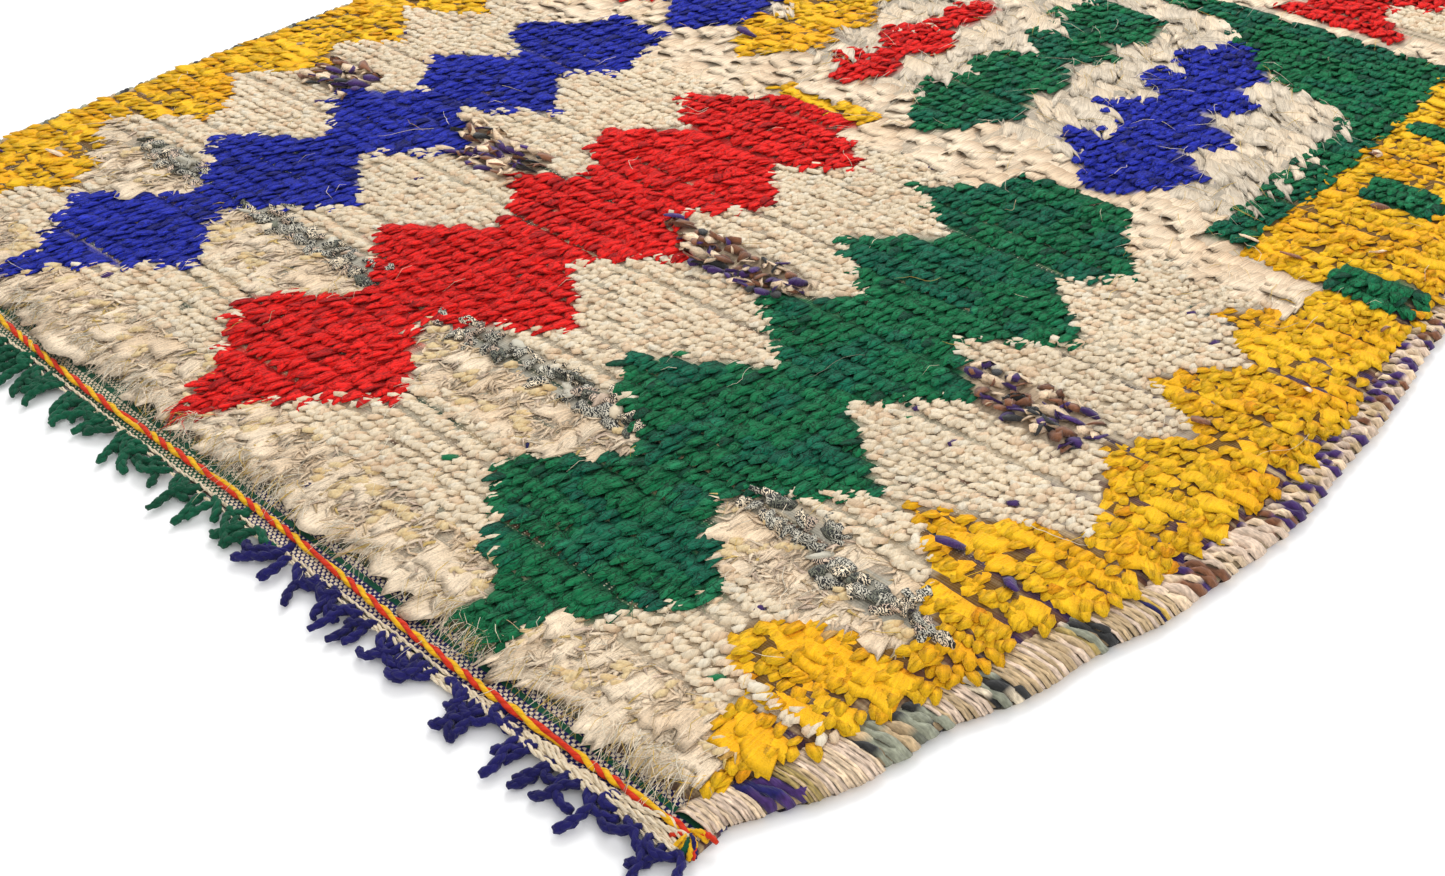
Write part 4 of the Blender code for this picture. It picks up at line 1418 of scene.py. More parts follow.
@dataclass
class WovenStrip:
    """The flat-woven strip in front of the pile, navy and green wefts with pale dashes in rows."""

    plan: Plan
    back: float = -0.9590
    plain_line: float = -0.9700
    plain_half: float = 0.0021
    low: float = 0.0030
    top: float = 0.0049
    dash: float = 0.0048
    dash_share: float = 0.68
    pick: float = 0.0026
    relief: float = 0.0005
    uneven: float = 0.0004
    corner: float = 0.0080

    def build(self) -> Piece:
        """Makes the strip as a closed band: a grid of dashes by picks, raised by turns, flat underneath.

        Returns:
            The piece.
        """
        rows = round((self.back - self.plan.woven_edge) / self.pick)
        y = np.linspace(self.plan.woven_edge + 0.0002, self.back, rows + 1)
        left, right = self.plan.outer(y)
        right = right - self.corner * (1 - ease(y, self.plan.woven_edge, self.back))
        columns = round((right - left).max() / self.dash * 2)
        x = left[:, None] + (right - left)[:, None] * np.linspace(0, 1, columns + 1)
        brick = (-1.0) ** (np.arange(rows + 1)[:, None] + np.arange(columns + 1)[None])
        z = self.top + self.relief * brick + self.uneven * drift(x, y[:, None], 0.03, 33)
        top = np.stack([x, np.broadcast_to(y[:, None], x.shape), z], -1).reshape(-1, 3)
        ends = [(left[0], y[0]), (right[0], y[0]), (right[-1], y[-1]), (left[-1], y[-1])]
        under = np.array([(*end, self.low) for end in ends])
        index = np.arange(len(top)).reshape(rows + 1, -1)
        a, b, c, d = len(top) + np.arange(4)
        faces = [
            sheet_faces(index),
            np.concatenate([index[0, ::-1], [a, b]])[None],
            np.concatenate([index[-1], [c, d]])[None],
            np.concatenate([index[:, 0], [d, a]])[None],
            np.concatenate([index[::-1, -1], [b, c]])[None],
            np.array([[a, d, c, b]]),
        ]
        points = np.concatenate([top, under])
        piece = put_mesh("woven_strip", points, faces, {}, self.material())
        return piece

    def material(self) -> Material:
        """Pale dashes on navy, green to the left, in brick rows, with a plain green row at the back.

        Returns:
            The material.
        """
        shader = Shader("woven_strip", 0.9, 0.15)
        place = shader.place()
        axes = shader.split(place)
        picks = shader.math("DIVIDE", axes[1], self.pick)
        odd = shader.times(shader.math("PINGPONG", shader.math("FLOOR", picks), 1.0), 0.5)
        along = shader.math("FRACT", shader.plus(shader.math("DIVIDE", axes[0], self.dash), odd))
        wander = shader.times(shader.noise(place, 160.0), 0.35)
        dash = shader.math("LESS_THAN", shader.plus(along, wander), self.dash_share)
        inset = shader.math("ABSOLUTE", shader.minus(shader.math("FRACT", picks), 0.5))
        dash = shader.times(dash, shader.math("LESS_THAN", inset, 0.38))
        line = shader.math("ABSOLUTE", shader.minus(axes[1], self.plain_line))
        plain = shader.math("LESS_THAN", line, self.plain_half)
        dash = shader.times(dash, shader.minus(1.0, plain))
        ground = shader.blend(shader.ramp(axes[0], 0.02, 0.05), BOTTLE, NAVY)
        colour = shader.blend(dash, shader.blend(plain, ground, BOTTLE), CREAM * 0.95)
        grain = shader.noise(place, 1100.0)
        shade = shader.ramp(grain, 0.3, 0.7, 0.75, 1.15)
        return shader.finish(colour, shade, shader.plus(grain, dash), 0.0004)


class Wrap(NamedTuple):
    """One wrapped length of a selvedge: its end, its colours, the pitch of its turns and their plait."""

    end: float
    colours: tuple[Array, ...]
    pitch: float
    plait: float = 0.03


@dataclass
class Selvedge:
    """A bundle of outer warps wrapped over and over in yarn and torn cloth.

    Side is 1 on the right and -1 on the left. Profile gives each ring of a turn's section its place along
    the edge, in turns, and how far it is sunk.
    """

    plan: Plan
    name: str
    side: int
    wraps: tuple[Wrap, ...]
    seed: int
    forward: float = -0.002
    columns: int = 4
    high: float = 0.0108
    tuck: float = 0.005
    fine_pitch: float = 0.0042
    profile: tuple[tuple[float, float], ...] = ((-0.66, 1.0), (-0.10, 0.0), (0.40, 0.12), (0.66, 1.0))
    bundle_rings: int = 90
    bundle_sides: int = 8

    def build(self, material: Material) -> Piece:
        """Makes the turns and the bundle inside them.

        A turn is an oval ring round the bundle: half + half * cos(angle) across and
        0.46 + 0.54 * sin(angle) up. Its profile is a ridge between two sunk edges, a little wider than the
        pitch, so that each turn laps the last. Plaited turns rise and sink from column to column, and the
        next turn the other way.

        Args:
            material: its finish.

        Returns:
            The piece.
        """
        rng = np.random.default_rng(self.seed)
        places, pitches, colours, plaits = self.turns(rng)
        angle, column = self.ring()
        count, points = len(places), len(angle)
        cloth, outer = self.edges(places)
        fine = np.where(pitches < self.fine_pitch, 0.35, 1.0)
        reach = (outer - cloth) * (1 + fine * rng.normal(0, 0.045, count)) + self.side * self.tuck
        sign = (-1.0) ** np.arange(count)[:, None]
        bump = 1 + 0.9 * plaits[:, None] * sign * (-1.0) ** column * (np.sin(angle) > -0.3)
        rough = rng.normal(0, 0.022, (count, points)) + rng.normal(0, 0.035, (count, 1))
        bump = bump + fine[:, None] * rough
        slant = rng.normal(0.10, 0.16, count) * pitches
        groove = 0.17 * (pitches[:, None] / 0.0065).clip(0.0, 1.1) ** 2
        rings = []
        for place, sunk in self.profile:
            size = bump * (1 - groove * sunk)
            across = 0.5 + 0.5 * np.cos(angle)[None] * (1 + (size - 1) * 0.5)
            x = cloth[:, None] - self.side * self.tuck + reach[:, None] * across
            z = (self.high * (0.46 + 0.54 * np.sin(angle)[None] * size + (size - 1) * 0.4)).clip(0.0, None)
            y = places[:, None] + place * pitches[:, None] + slant[:, None] * np.cos(angle)[None]
            y = y + 6.0 * plaits[:, None] * pitches[:, None] * np.cos(angle)[None]
            rings.append(np.stack([x, y + 0 * x, z], -1))
        turns = np.stack(rings, axis=2)
        index = np.arange(turns.size // 3).reshape(turns.shape[:3])
        around = np.roll(index, -1, 1)
        quads = np.stack([index, np.roll(index, -1, 2), np.roll(around, -1, 2), around], -1).reshape(-1, 4)
        core, core_faces = self.bundle()
        faces = [quads[:, ::self.side], *(part + index.size for part in core_faces)]
        tint = np.broadcast_to(colours[:, :, None], (*turns.shape[:3], 4)).reshape(-1, 4)
        tint = np.concatenate([tint, np.tile(np.append(TAN * 0.5, 0.5), (len(core), 1))])
        points = np.concatenate([turns.reshape(-1, 3), core])
        piece = put_mesh(self.name + "_turns", points, faces, {"tint": tint}, material)
        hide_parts(self.name)
        return piece

    def ring(self) -> tuple[Array, Array]:
        """The points round a turn: two for each column, evenly across its top, and three below.

        Returns:
            Each point's angle and column.
        """
        top = np.arccos(np.linspace(1, -1, 2 * self.columns))
        angle = np.concatenate([top, np.radians((225, 270, 315))])
        return angle, np.minimum(np.arange(len(angle)) // 2, self.columns - 1)

    def edges(self, y: Array) -> tuple[Array, Array]:
        """Where the cloth ends and where the wrapping ends at y."""
        pick = 1 if self.side > 0 else 0
        return self.plan.cloth(y)[pick], self.plan.outer(y)[pick]

    def turns(self, rng: Chance) -> tuple[Array, Array, Array, Array]:
        """Lays out the turns of wrapping along the edge.

        Args:
            rng: where chance comes from.

        Returns:
            Each turn's place, width, colours round it and depth of plait.
        """
        laid = []
        ends = [wrap.end for wrap in self.wraps]
        column = self.ring()[1]
        y = self.plan.pile_front - self.forward
        while y < self.plan.pile_back - 0.004:
            wrap = self.wraps[min(int(np.searchsorted(ends, y)), len(ends) - 1)]
            pitch = wrap.pitch * rng.uniform(0.75, 1.25)
            picks = rng.integers(len(wrap.colours), size=self.columns // 2 + 1)
            picks = np.repeat(picks, 2)[len(laid) % 2:]
            shades = np.array([wrap.colours[k] for k in picks[:self.columns]])
            if wrap.plait < 0.05:
                shades[:] = shades[0]
            ring = shades[column] * rng.uniform(0.85, 1.12)
            colours = np.concatenate([ring, np.full((len(ring), 1), rng.uniform())], axis=1)
            laid.append((y + pitch / 2, pitch, colours, wrap.plait))
            y += pitch
        places, pitches, colours, plaits = zip(*laid)
        return np.array(places), np.array(pitches), np.array(colours), np.array(plaits)

    def bundle(self) -> tuple[Array, list[Array]]:
        """The bundle inside the turns: the same oval, four fifths the size.

        Returns:
            Its points and faces.
        """
        y = np.linspace(self.plan.pile_front + 0.0005, self.plan.pile_back - 0.0005, self.bundle_rings)
        cloth, outer = self.edges(y)
        angle = 2 * np.pi * np.arange(self.bundle_sides) / self.bundle_sides
        across = 0.5 + 0.42 * np.cos(angle)[None]
        reach = outer - cloth + self.side * self.tuck
        x = cloth[:, None] - self.side * self.tuck + reach[:, None] * across
        z = self.high * (0.45 + 0.42 * np.sin(angle))[None] + 0 * x
        points = np.stack([x, y[:, None] + 0 * x, z], -1).reshape(-1, 3)
        index = np.arange(len(points)).reshape(x.shape)
        around = np.roll(index, -1, 1)
        quads = np.stack([index[:-1], index[1:], around[1:], around[:-1]], -1).reshape(-1, 4)
        caps = np.stack([index[0], index[-1, ::-1]])
        return points, [quads[:, ::self.side], caps[:, ::self.side]]


def wrap_material() -> Material:
    """Wrapped yarn and cloth: fine turns drawn across the edge over each wrap's own colour.

    Returns:
        The material.
    """
    shader = Shader("edge_wrap", 0.93, 0.2)
    tint = shader.attribute("tint").outputs["Color"]
    place = shader.place()
    turns = shader.noise(shader.drawn(place, (0.25, 1.0, 0.25)), 560.0, 3.0)
    mottle = shader.noise(place, 300.0, 3.0)
    shade = shader.ramp(turns, 0.35, 0.65, 0.68, 1.15)
    shade = shader.times(shade, shader.ramp(mottle, 0.3, 0.7, 0.82, 1.15))
    return shader.finish(tint, shade, turns, 0.0009)


@dataclass
class EndCord:
    """Two yarns turned round each other and laid across the woven strip."""

    plan: Plan
    turn: float = 0.034
    ply: float = 0.0018
    rest: float = 0.0052
    step: float = 0.0030

    def build(self, material: Material) -> list[Piece]:
        """Makes the two plies: each is a round profile on a path that winds about the laid line.

        Args:
            material: the yarn finish.

        Returns:
            The two pieces.
        """
        x = np.arange(self.plan.cord_x[0], self.plan.cord_x[-1], self.step)
        phase = 2 * np.pi * x / self.turn + 3.4 * drift(x, 0 * x, 0.040, 51)
        pieces = []
        for number, (name, colour) in enumerate((("red", CORD_RED), ("yellow", CORD_YELLOW))):
            angle = phase + math.pi * number
            y = self.plan.cord_line(x) + 0.80 * self.ply * np.cos(angle)
            z = self.rest + self.ply * (1.0 + 0.62 * (1 + np.sin(angle)))
            size = np.full((1, len(x)), self.ply) * (1.06 + 0.16 * drift(x, 0 * x, 0.006, 52 + number))
            swept = sweep(np.stack([x, y, z], -1)[None], size, size, 8, 0.0, 0.05, 53 + number)
            tint = np.append(colour, 0.3 + 0.4 * number)[None]
            pieces.append(swept.put(f"end_cord_{name}", tint, material, "end_cord_yarn"))
        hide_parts("end_cord")
        return pieces


@dataclass
class EdgeTwining:
    """Pale plied cords that hold the last weft: two along the edge, and more towards the right corner.

    Lines gives each long cord's distance from the woven edge's back and its height.
    """

    radius: float = 0.00088
    turn: float = 0.0170
    rings: int = 360
    lines: tuple[tuple[float, float], ...] = ((0.0012, 0.0064), (0.0054, 0.0060))
    corner_cords: int = 5
    corner_rings: int = 110
    corner_size: float = 1.30

    def build(self, material: Material) -> Piece:
        """Makes the cords. Each follows a line beside the woven edge and is two yarns turned together.

        Args:
            material: the yarn finish.

        Returns:
            The piece.
        """
        low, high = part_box("edge_twining")
        x = np.linspace(low.x, high.x, self.rings)
        lines = []
        for offset, height in self.lines:
            wave = 0.0007 * np.sin(x / 0.035 + offset * 900) + 0.0006 * drift(x, x * 0, 0.012, 63)
            lines.append(np.stack([x, high.y - offset + wave, np.full_like(x, height)], -1))
        size = np.full((len(lines), len(x)), self.radius)
        long = twisted(np.array(lines), size, self.turn, 0.9, 4, 61)
        corner = []
        share = np.linspace(0, 1, self.corner_rings)
        for number in range(self.corner_cords):
            start = np.array((high.x - 0.300 + 0.040 * number, high.y - 0.0050 + 0.0016 * number, 0.0056))
            end = np.array((high.x - 0.002, high.y - 0.0020 + 0.0034 * number, 0.0080 + 0.0002 * number))
            line = start + (end - start) * share[:, None]
            wave = 0.0014 * np.sin(share * (17 + 3 * number) + number * 2)
            line[:, 1] += -0.0040 * np.sin(np.pi * share) + wave
            line[:, 2] += 0.0014 * np.sin(share * (13 + 2 * number) + number * 2.4)
            corner.append(line)
        size = np.full((len(corner), len(share)), self.radius * self.corner_size) * ease(share, -0.05, 0.12)
        short = twisted(np.array(corner), size, self.turn, 0.95, 4, 62)
        faces = [*long.faces, *(part + len(long.points) for part in short.faces)]
        points = np.concatenate([long.points, short.points])
        both = Swept(points, np.concatenate([long.yarn, short.yarn]), faces)
        piece = both.put("edge_twining_cords", np.append(CREAM, 0.5)[None], material, "twining_yarn")
        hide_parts("edge_twining")
        return piece


@dataclass
class Fringe:
    """Looped strands along the fringed end, each two yarns twisted together, in curls on the floor."""

    node: str
    colour: Array
    seed: int
    hooked: bool = False
    pitch: float = 0.0074
    radius: float = 0.0027
    turn: float = 0.0170
    rings: int = 14
    hook: tuple[float, float, float] = (0.046, -1.75, 1.15)

    def build(self, material: Material) -> Piece:
        """Makes the strands.

        A strand's heading turns steadily, so that its tip curls, and it settles on the floor.

        Args:
            material: the yarn finish.

        Returns:
            The piece.
        """
        rng = np.random.default_rng(self.seed)
        low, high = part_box(self.node)
        count = int((high.x - low.x) / self.pitch)
        x = low.x + (np.arange(count) + 0.5) * (high.x - low.x) / count
        x = x + 0.0040 * drift(x, x * 0, 0.022, self.seed) + rng.normal(0, 0.0012, count)
        length = rng.uniform(0.021, 0.038, count)
        bend = rng.normal(0, 1.90, count)
        first = rng.normal(0, 0.60, count)
        if self.hooked:
            length[-1], bend[-1], first[-1] = self.hook
        share = np.linspace(0, 1, self.rings)
        wiggle = rng.normal(0, 0.22, count)[:, None] * np.sin(share * 9 + rng.uniform(0, 6, count)[:, None])
        heading = first[:, None] + bend[:, None] * share[None] ** 1.3 + wiggle
        aside, ahead = strides(heading, length[:, None] / (self.rings - 1))
        path_y = np.maximum(high.y + 0.0030 - ahead, low.y - 0.002)
        hump = rng.uniform(0.0, 0.0040, count)[:, None] * np.sin(np.pi * share ** 0.8)[None]
        path_z = 1.55 * self.radius + 0.0018 * (1 - share[None]) ** 2 + hump
        path = np.stack([x[:, None] + aside, path_y, path_z], -1)
        lumps = 1 + 0.05 * rng.normal(0, 1, (count, self.rings)).clip(-1.5, 1.5)
        taper = np.interp(share, (0, 0.85, 1), (0.9, 1.0, 0.70))
        thick = self.radius * rng.uniform(0.85, 1.10, count)[:, None] * taper
        swept = twisted(path, thick * lumps, self.turn, 0.50, 6, self.seed + 1)
        tint = with_lots(rng.uniform(0.75, 1.2, count)[:, None] * self.colour, rng)
        piece = swept.put(self.node + "_strands", tint, material, self.node + "_yarn")
        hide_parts(self.node)
        return piece


@dataclass
class CornerTuft:
    """The ends of the laid cord's yarns, cut and spread at the right corner."""

    plan: Plan
    rings: int = 6
    radius: float = 0.0013
    length: float = 0.013
    colours: tuple[Array, ...] = (
        CORD_YELLOW, CORD_YELLOW, CORD_YELLOW, CORD_RED, NAVY, CORD_YELLOW, CORD_RED, CORD_YELLOW, NAVY,
        BOTTLE, CORD_YELLOW, CORD_RED)

    def build(self, material: Material) -> Piece:
        """Makes the ends. Each leaves the cord on its own heading, arches up and comes down to its tip.

        Args:
            material: the yarn finish.

        Returns:
            The piece.
        """
        rng = np.random.default_rng(77)
        count = len(self.colours)
        share = np.linspace(0, 1, self.rings)
        heading = np.linspace(-0.9, 1.5, count)[:, None] + rng.normal(0, 0.35, (count, 1)) + 0.7 * share
        down, out = strides(heading, self.length * rng.uniform(0.7, 1.15, (count, 1)) / (self.rings - 1))
        x = self.plan.cord_x[-1] - 0.0045 + out
        y = self.plan.cord_line(self.plan.cord_x[-1:]) - 0.001 - down
        z = 0.0080 + rng.uniform(0.0, 0.0030, (count, 1)) + 0.0022 * np.sin(np.pi * share) - 0.0030 * share
        taper = np.interp(share, (0, 0.85, 1), (0.8, 1.1, 0.8))
        size = self.radius * rng.uniform(0.8, 1.25, (count, 1)) * taper
        swept = twisted(np.stack([x, y, z], -1), size, 0.008, 0.5, 5, 78)
        return swept.put("corner_tuft", with_lots(np.array(self.colours), rng), material, "end_cord_yarn")


@dataclass
class LooseThreads:
    """Fine stray threads that lie over the pile and hang past the edges."""

    plan: Plan
    count: int = 150
    front_share: float = 0.30
    radius: float = 0.00024
    rings: int = 10

    def build(self, material: Material) -> Piece:
        """Makes the threads. Each wanders just above the pile, with a heading that turns at random.

        Args:
            material: the yarn finish.

        Returns:
            The piece.
        """
        rng = np.random.default_rng(71)
        plan, count = self.plan, self.count
        y = rng.uniform(plan.pile_front + 0.01, plan.pile_back, count)
        front = rng.uniform(0, 1, count) < self.front_share
        y[front] = plan.pile_front + rng.uniform(-0.004, 0.03, front.sum())
        left, right = plan.cloth(y)
        x = left + (right - left) * rng.uniform(0.01, 0.99, count)
        length = rng.uniform(0.02, 0.06, count)
        share = np.linspace(0, 1, self.rings)
        heading = rng.normal(0, 0.9, count)[:, None]
        heading = heading + np.cumsum(rng.normal(0, 0.30, (count, self.rings)), axis=1)
        aside, ahead = strides(heading, length[:, None] / (self.rings - 1))
        path_y = y[:, None] - ahead
        over = ease(path_y, plan.pile_front - 0.012, plan.pile_front + 0.012)
        path_z = 0.0095 + 0.0100 * over + 0.0020 * np.sin(share * 7 + x[:, None] * 90)
        path = np.stack([x[:, None] + aside, np.maximum(path_y, plan.woven_edge - 0.025), path_z], -1)
        taper = np.interp(share, (0, 0.8, 1), (1, 0.9, 0.4))
        size = self.radius * rng.uniform(0.7, 1.3, count)[:, None] * taper
        swept = sweep(path, size, size, 3, 0.0, 0.1, 72)
        palette = np.array([CREAM_WHITE, CREAM, GOLD, TAN, SAGE, GREEN_LIGHT])
        chosen = palette[rng.choice(len(palette), count, p=(0.34, 0.26, 0.16, 0.12, 0.06, 0.06))]
        return swept.put("loose_threads", with_lots(chosen, rng), material, "pile_wool")


@dataclass
class Down:
    """Fine hairs that stand out of the wool, most in the undyed fleece, and a fringe over the strip."""

    plan: Plan
    chart: Chart
    pile: Pile
    tries: int = 7000
    wisps: int = 110
    wisp: int = 11
    radius: float = 0.00024
    rings: int = 3
    sparse: float = 0.16

    def places(self, rng: Chance) -> tuple[Array, Array, Array]:
        """Where hairs start: all that fall in fleece, a share of the others, and wisps along the front.

        Args:
            rng: where chance comes from.

        Returns:
            Places across and along, and the yarn there.
        """
        front = self.plan.pile_front
        y = rng.uniform(front, self.plan.pile_back - 0.02, self.tries)
        y[: self.tries // 2] = rng.uniform(front, 0.30, self.tries // 2)
        y[: self.tries // 3] = rng.uniform(-0.16, 0.28, self.tries // 3)
        left, right = self.plan.cloth(y)
        x = left + (right - left) * rng.uniform(0.01, 0.99, self.tries)
        fleece = np.isin(self.chart.yarns(x, y), (Yarn.BEIGE, Yarn.SHAG, Yarn.MATTED))
        kept = fleece | (rng.uniform(0, 1, self.tries) < self.sparse)
        count = self.wisps * self.wisp
        front_x = np.repeat(rng.uniform(-0.56, 0.48, self.wisps), self.wisp) + rng.normal(0, 0.0045, count)
        front_y = front + rng.uniform(0.000, 0.016, count)
        x, y = np.concatenate([x[kept], front_x]), np.concatenate([y[kept], front_y])
        return x, y, self.chart.yarns(x, y)

    def build(self, material: Material) -> Piece:
        """Makes the hairs. Each rises from the bed, bends by a steady turn and comes back down to its tip.

        Args:
            material: the yarn finish.

        Returns:
            The piece.
        """
        rng = np.random.default_rng(73)
        x, y, yarn = self.places(rng)
        count = len(x)
        shag = yarn == Yarn.SHAG
        share = np.linspace(0, 1, self.rings)
        length = rng.uniform(0.012, 0.030, count) * (1 + 0.4 * shag)
        lean = np.radians(rng.normal(0, 16, count) + 34 * drift(x, y, 0.014, 75) + 34 * shag)
        heading = lean[:, None] + rng.normal(0, 0.7, count)[:, None] * share
        step = length[:, None] / (self.rings - 1)
        aside, ahead = strides(heading, step)
        path_x = x[:, None] + aside - np.sin(heading[:, :1]) * step
        path_y = y[:, None] - ahead + np.cos(heading[:, :1]) * step
        top = rng.uniform(0.0020, 0.0065, count)[:, None]
        over = ease(path_y, self.plan.pile_front - 0.016, self.plan.pile_front + 0.010)
        arch = np.sin(np.pi * (0.15 + 0.75 * share))
        path_z = 0.0075 + (self.pile.bed(path_y) - 0.0035) * over + top * arch
        path = np.stack([path_x, path_y, path_z], -1)
        taper = np.interp(share, (0, 0.6, 1), (1, 0.9, 0.35))
        size = self.radius * rng.uniform(0.7, 1.3, count)[:, None] * taper
        swept = sweep(path, size, size, 3, 0.0, 0.1, 74)
        mains = np.array([BLENDS[kind].main for kind in Yarn])
        colour = mains[yarn] * rng.uniform(0.9, 1.2, count)[:, None]
        pick = rng.uniform(0, 1, count)
        fleece = np.isin(yarn, (Yarn.BEIGE, Yarn.SHAG, Yarn.CREAM, Yarn.MATTED))
        colour[fleece & (pick < 0.20)] = GOLD
        colour[fleece & (pick > 0.60)] = CREAM_WHITE
        colour[~fleece & (pick < 0.08)] = CREAM
        return swept.put("down_hairs", with_lots(colour, rng), material, "pile_wool")


@dataclass
class Studio:
    """The plain pale floor, the soft light and the camera."""

    camera_place: tuple[float, float, float] = (0.9257, -1.4095, 0.7700)
    pitch_down: float = 37.78
    yaw: float = -43.25
    roll: float = -0.64
    lens_mm: float = 41.08
    sensor_mm: float = 36.0
    surround: float = 0.90
    floor_reach: float = 12.0
    floor_drop: float = 0.0004

    def build(self) -> None:
        """Sets the camera, then the light and the floor."""
        self.camera()
        self.light()
        self.floor()

    def camera(self) -> None:
        """Sets the camera where the photo was taken from."""
        pitch, yaw, roll = (math.radians(v) for v in (self.pitch_down, self.yaw, self.roll))
        forward = Vector(
            (math.sin(yaw) * math.cos(pitch), math.cos(yaw) * math.cos(pitch), -math.sin(pitch)))
        level = Vector((math.cos(yaw), -math.sin(yaw), 0.0))
        upright = level.cross(forward)
        right = level * math.cos(roll) + upright * math.sin(roll)
        up = upright * math.cos(roll) - level * math.sin(roll)
        data = bpy.data.cameras.new("camera")
        data.lens, data.sensor_width, data.sensor_fit = self.lens_mm, self.sensor_mm, "HORIZONTAL"
        data.clip_start, data.clip_end = 0.01, 50.0
        camera = bpy.data.objects.new("camera", data)
        camera.matrix_world = Matrix((
            (right.x, up.x, -forward.x, self.camera_place[0]),
            (right.y, up.y, -forward.y, self.camera_place[1]),
            (right.z, up.z, -forward.z, self.camera_place[2]),
            (0.0, 0.0, 0.0, 1.0)))
        bpy.context.scene.collection.objects.link(camera)
        bpy.context.scene.camera = camera

    def light(self) -> None:
        """Sets a white surround and soft lamps above."""
        world = bpy.data.worlds.new("studio")
        world.use_nodes = True
        background = world.node_tree.nodes["Background"].inputs
        background["Color"].default_value = (1.0, 1.0, 1.0, 1.0)
        background["Strength"].default_value = self.surround
        bpy.context.scene.world = world
        bpy.context.scene.view_settings.view_transform = "Standard"
        self.lamp("key", (-1.4, 1.9, 2.6), 1.8, 75.0)
        self.lamp("fill", (2.4, -1.2, 2.4), 2.4, 20.0)

    @staticmethod
    def lamp(name: str, place: tuple[float, float, float], size: float, power: float) -> None:
        """Adds a square lamp that faces the rug.

        Args:
            name: the lamp's name.
            place: where it hangs.
            size: its side.
            power: its watts.
        """
        data = bpy.data.lights.new(name, "AREA")
        data.size, data.energy = size, power
        lamp = bpy.data.objects.new(name, data)
        lamp.location = place
        lamp.rotation_euler = (-Vector(place)).to_track_quat("-Z", "Y").to_euler()
        bpy.context.scene.collection.objects.link(lamp)

    def floor(self) -> None:
        """Lays the pale floor just under the rug."""
        mesh = bpy.data.meshes.new("floor")
        reach = self.floor_reach
        corners = [(-reach, -reach, 0), (reach, -reach, 0), (reach, reach, 0), (-reach, reach, 0)]
        mesh.from_pydata(corners, [], [(0, 1, 2, 3)])
        shader = Shader("floor", 0.9, 0.0)
        shader.cloth.inputs["Base Color"].default_value = (0.95, 0.95, 0.95, 1.0)
        mesh.materials.append(shader.material)
        floor = bpy.data.objects.new("floor", mesh)
        floor.location.z = -self.floor_drop
        bpy.context.scene.collection.objects.link(floor)


RIGHT_WRAPS = (
    Wrap(-0.940, (PINK_BEIGE, CREAM_WARM), 0.0024),
    Wrap(-0.922, (PURPLE, NAVY), 0.0080, 0.10),
    Wrap(-0.902, (TAN, OLIVE), 0.0022),
    Wrap(-0.866, (PINK_BEIGE, CREAM_WARM), 0.0026),
    Wrap(-0.812, (SAGE, SAGE * 0.6, CHARCOAL, TAN, SAGE), 0.0068, 0.12),
    Wrap(-0.782, (TAN, PINK_BEIGE), 0.0026),
    Wrap(-0.762, (SAGE, CHARCOAL, CREAM), 0.0060, 0.12),
    Wrap(-0.715, (TAN, PINK_BEIGE, TAN * 0.9), 0.0030),
    Wrap(-0.690, (OLIVE, SAGE, PINK_BEIGE, TAN), 0.0050, 0.08),
    Wrap(-0.680, (SAGE, CHARCOAL), 0.0060, 0.12),
    Wrap(-0.643, (TAN, PINK_BEIGE), 0.0026),
    Wrap(-0.640, (NAVY,), 0.0030),
    Wrap(-0.626, (TAN, TAN, GOLD, PINK_BEIGE), 0.0030),
    Wrap(-0.602, (CREAM_WARM, PINK_BEIGE, BROWN), 0.0075, 0.10),
    Wrap(-0.578, (BROWN, PURPLE, CREAM_WARM, BROWN), 0.0060, 0.14),
    Wrap(-0.545, (PINK_BEIGE, PURPLE, CREAM_WARM, PINK_BEIGE), 0.0062, 0.14),
    Wrap(-0.532, (PINK_BEIGE,), 0.0120, 0.04),
    Wrap(-0.470, (PURPLE, CREAM_WARM, BROWN, PINK_BEIGE), 0.0062, 0.14),
    Wrap(-0.400, (PINK_BEIGE, CREAM_WARM, PURPLE, TAN), 0.0060, 0.14),
    Wrap(-0.180, (PURPLE, BROWN, CREAM_WARM, PINK_BEIGE, PINK_BEIGE, TAN), 0.0062, 0.14),
    Wrap(0.120, (TAN, PINK_BEIGE), 0.0036),
    Wrap(0.300, (SAGE, CHARCOAL, CREAM_WARM), 0.0070, 0.12),
    Wrap(0.620, (TAN, OLIVE, PINK_BEIGE), 0.0038),
    Wrap(0.760, (PURPLE, BROWN, CREAM_WARM), 0.0065, 0.14),
    Wrap(1.100, (TAN, PINK_BEIGE), 0.0038),
)
LEFT_WRAPS = (
    Wrap(-0.700, (SAGE, SAGE * 0.6, TAN), 0.0060, 0.10),
    Wrap(-0.400, (SAGE, CHARCOAL, TAN, OLIVE), 0.0062, 0.12),
    Wrap(-0.100, (TAN, SAGE), 0.0045),
    Wrap(0.250, (SAGE, BROWN, TAN), 0.0065, 0.12),
    Wrap(0.700, (TAN, PINK_BEIGE, OLIVE), 0.0042),
    Wrap(1.100, (SAGE, TAN), 0.0060, 0.08),
)


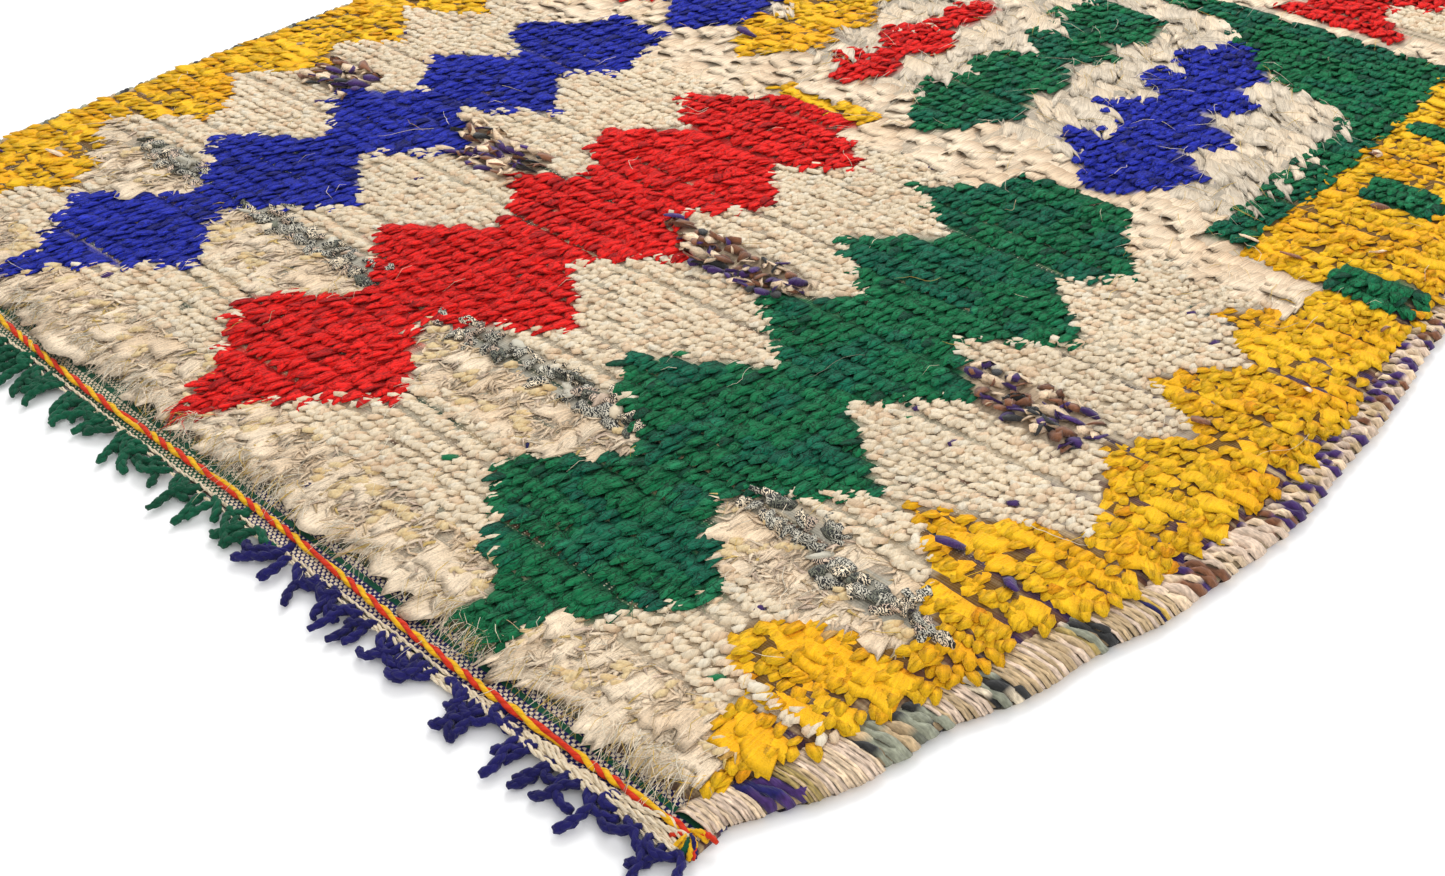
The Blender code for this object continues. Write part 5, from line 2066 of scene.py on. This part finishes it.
def yarn_finishes() -> dict[Yarn, Material]:
    """The material of each yarn that is knotted.

    Returns:
        The materials by yarn.
    """
    combed = YarnFinish("combed", ply_turn=STRAIGHT, ply_shade=0.0, ply_depth=0.0)
    nub = YarnFinish(
        "nub_yarn", ply_shade=0.10, ply_depth=0.0006, fibre_shade=0.14, softness=0.15).material()
    thick = replace(combed, fibre=0.0018, fibre_shade=0.36, fibre_depth=0.0012, sheen=0.03)
    dyed = replace(thick, name="dyed_wool", softness=1.1, crack_shade=0.50, crack_width=0.032).material()
    red = replace(thick, name="red_wool", softness=0.9, crack_shade=0.12).material()
    wool = replace(combed, name="undyed_wool", fibre_shade=0.26, fibre_depth=0.0010, sheen=0.08,
                   softness=1.7, stretch=0.05, fuzz_share=0.25).material()
    fleece = replace(combed, name="fleece", fibre=0.0014, fibre_depth=0.0015, sheen=0.08, softness=1.5,
                     stretch=0.09, fuzz_share=0.36).material()
    leaf = replace(combed, name="leaf_yarn", fibre=0.0024, fibre_shade=0.20, fibre_depth=0.0014, sheen=0.04,
                   softness=1.0, stretch=0.14, fuzz_share=0.30).material()
    rag = YarnFinish("torn_cloth", ply_shade=0.0, ply_depth=0.0, fibre=0.0020, fibre_shade=0.35).material()
    return {Yarn.CREAM: nub, Yarn.SHAG: wool, Yarn.BEIGE: fleece, Yarn.GREEN: dyed, Yarn.RED: red,
            Yarn.BLUE: dyed, Yarn.YELLOW: leaf, Yarn.SHRED: rag, Yarn.MATTED: wool,
            Yarn.GREY: printed_material("printed_cloth")}


def main() -> None:
    """Builds the rug piece by piece."""
    logging.basicConfig(level=logging.INFO, format="%(name)s %(message)s")
    Studio().build()
    plan, chart = Plan(), Chart()
    pile = Pile(plan, chart)
    finishes = yarn_finishes()
    GroundCloth(plan, chart, pile).build(weave_material("ground_weave"))
    WovenStrip(plan).build()
    pile.build(finishes)
    for band in BANDS:
        BandRows(plan, chart, pile, band).build(finishes[band.yarn])
    wrap = wrap_material()
    Selvedge(plan, "selvedge_right", 1, RIGHT_WRAPS, 81, forward=0.010, high=0.0122, tuck=0.014).build(wrap)
    Selvedge(plan, "selvedge_left", -1, LEFT_WRAPS, 83).build(wrap)
    cord = YarnFinish("cord_yarn", ply_turn=0.016, ply_shade=0.14, fibre_shade=0.2, sheen=0.08).material()
    EndCord(plan).build(cord)
    EdgeTwining().build(cord)
    Fringe("fringe_green", BOTTLE, 91).build(cord)
    Fringe("fringe_navy", NAVY, 95, hooked=True).build(cord)
    CornerTuft(plan).build(cord)
    LooseThreads(plan).build(cord)
    Down(plan, chart, pile).build(finishes[Yarn.SHAG])
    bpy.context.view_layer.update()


if __name__ == "__main__":
    main()
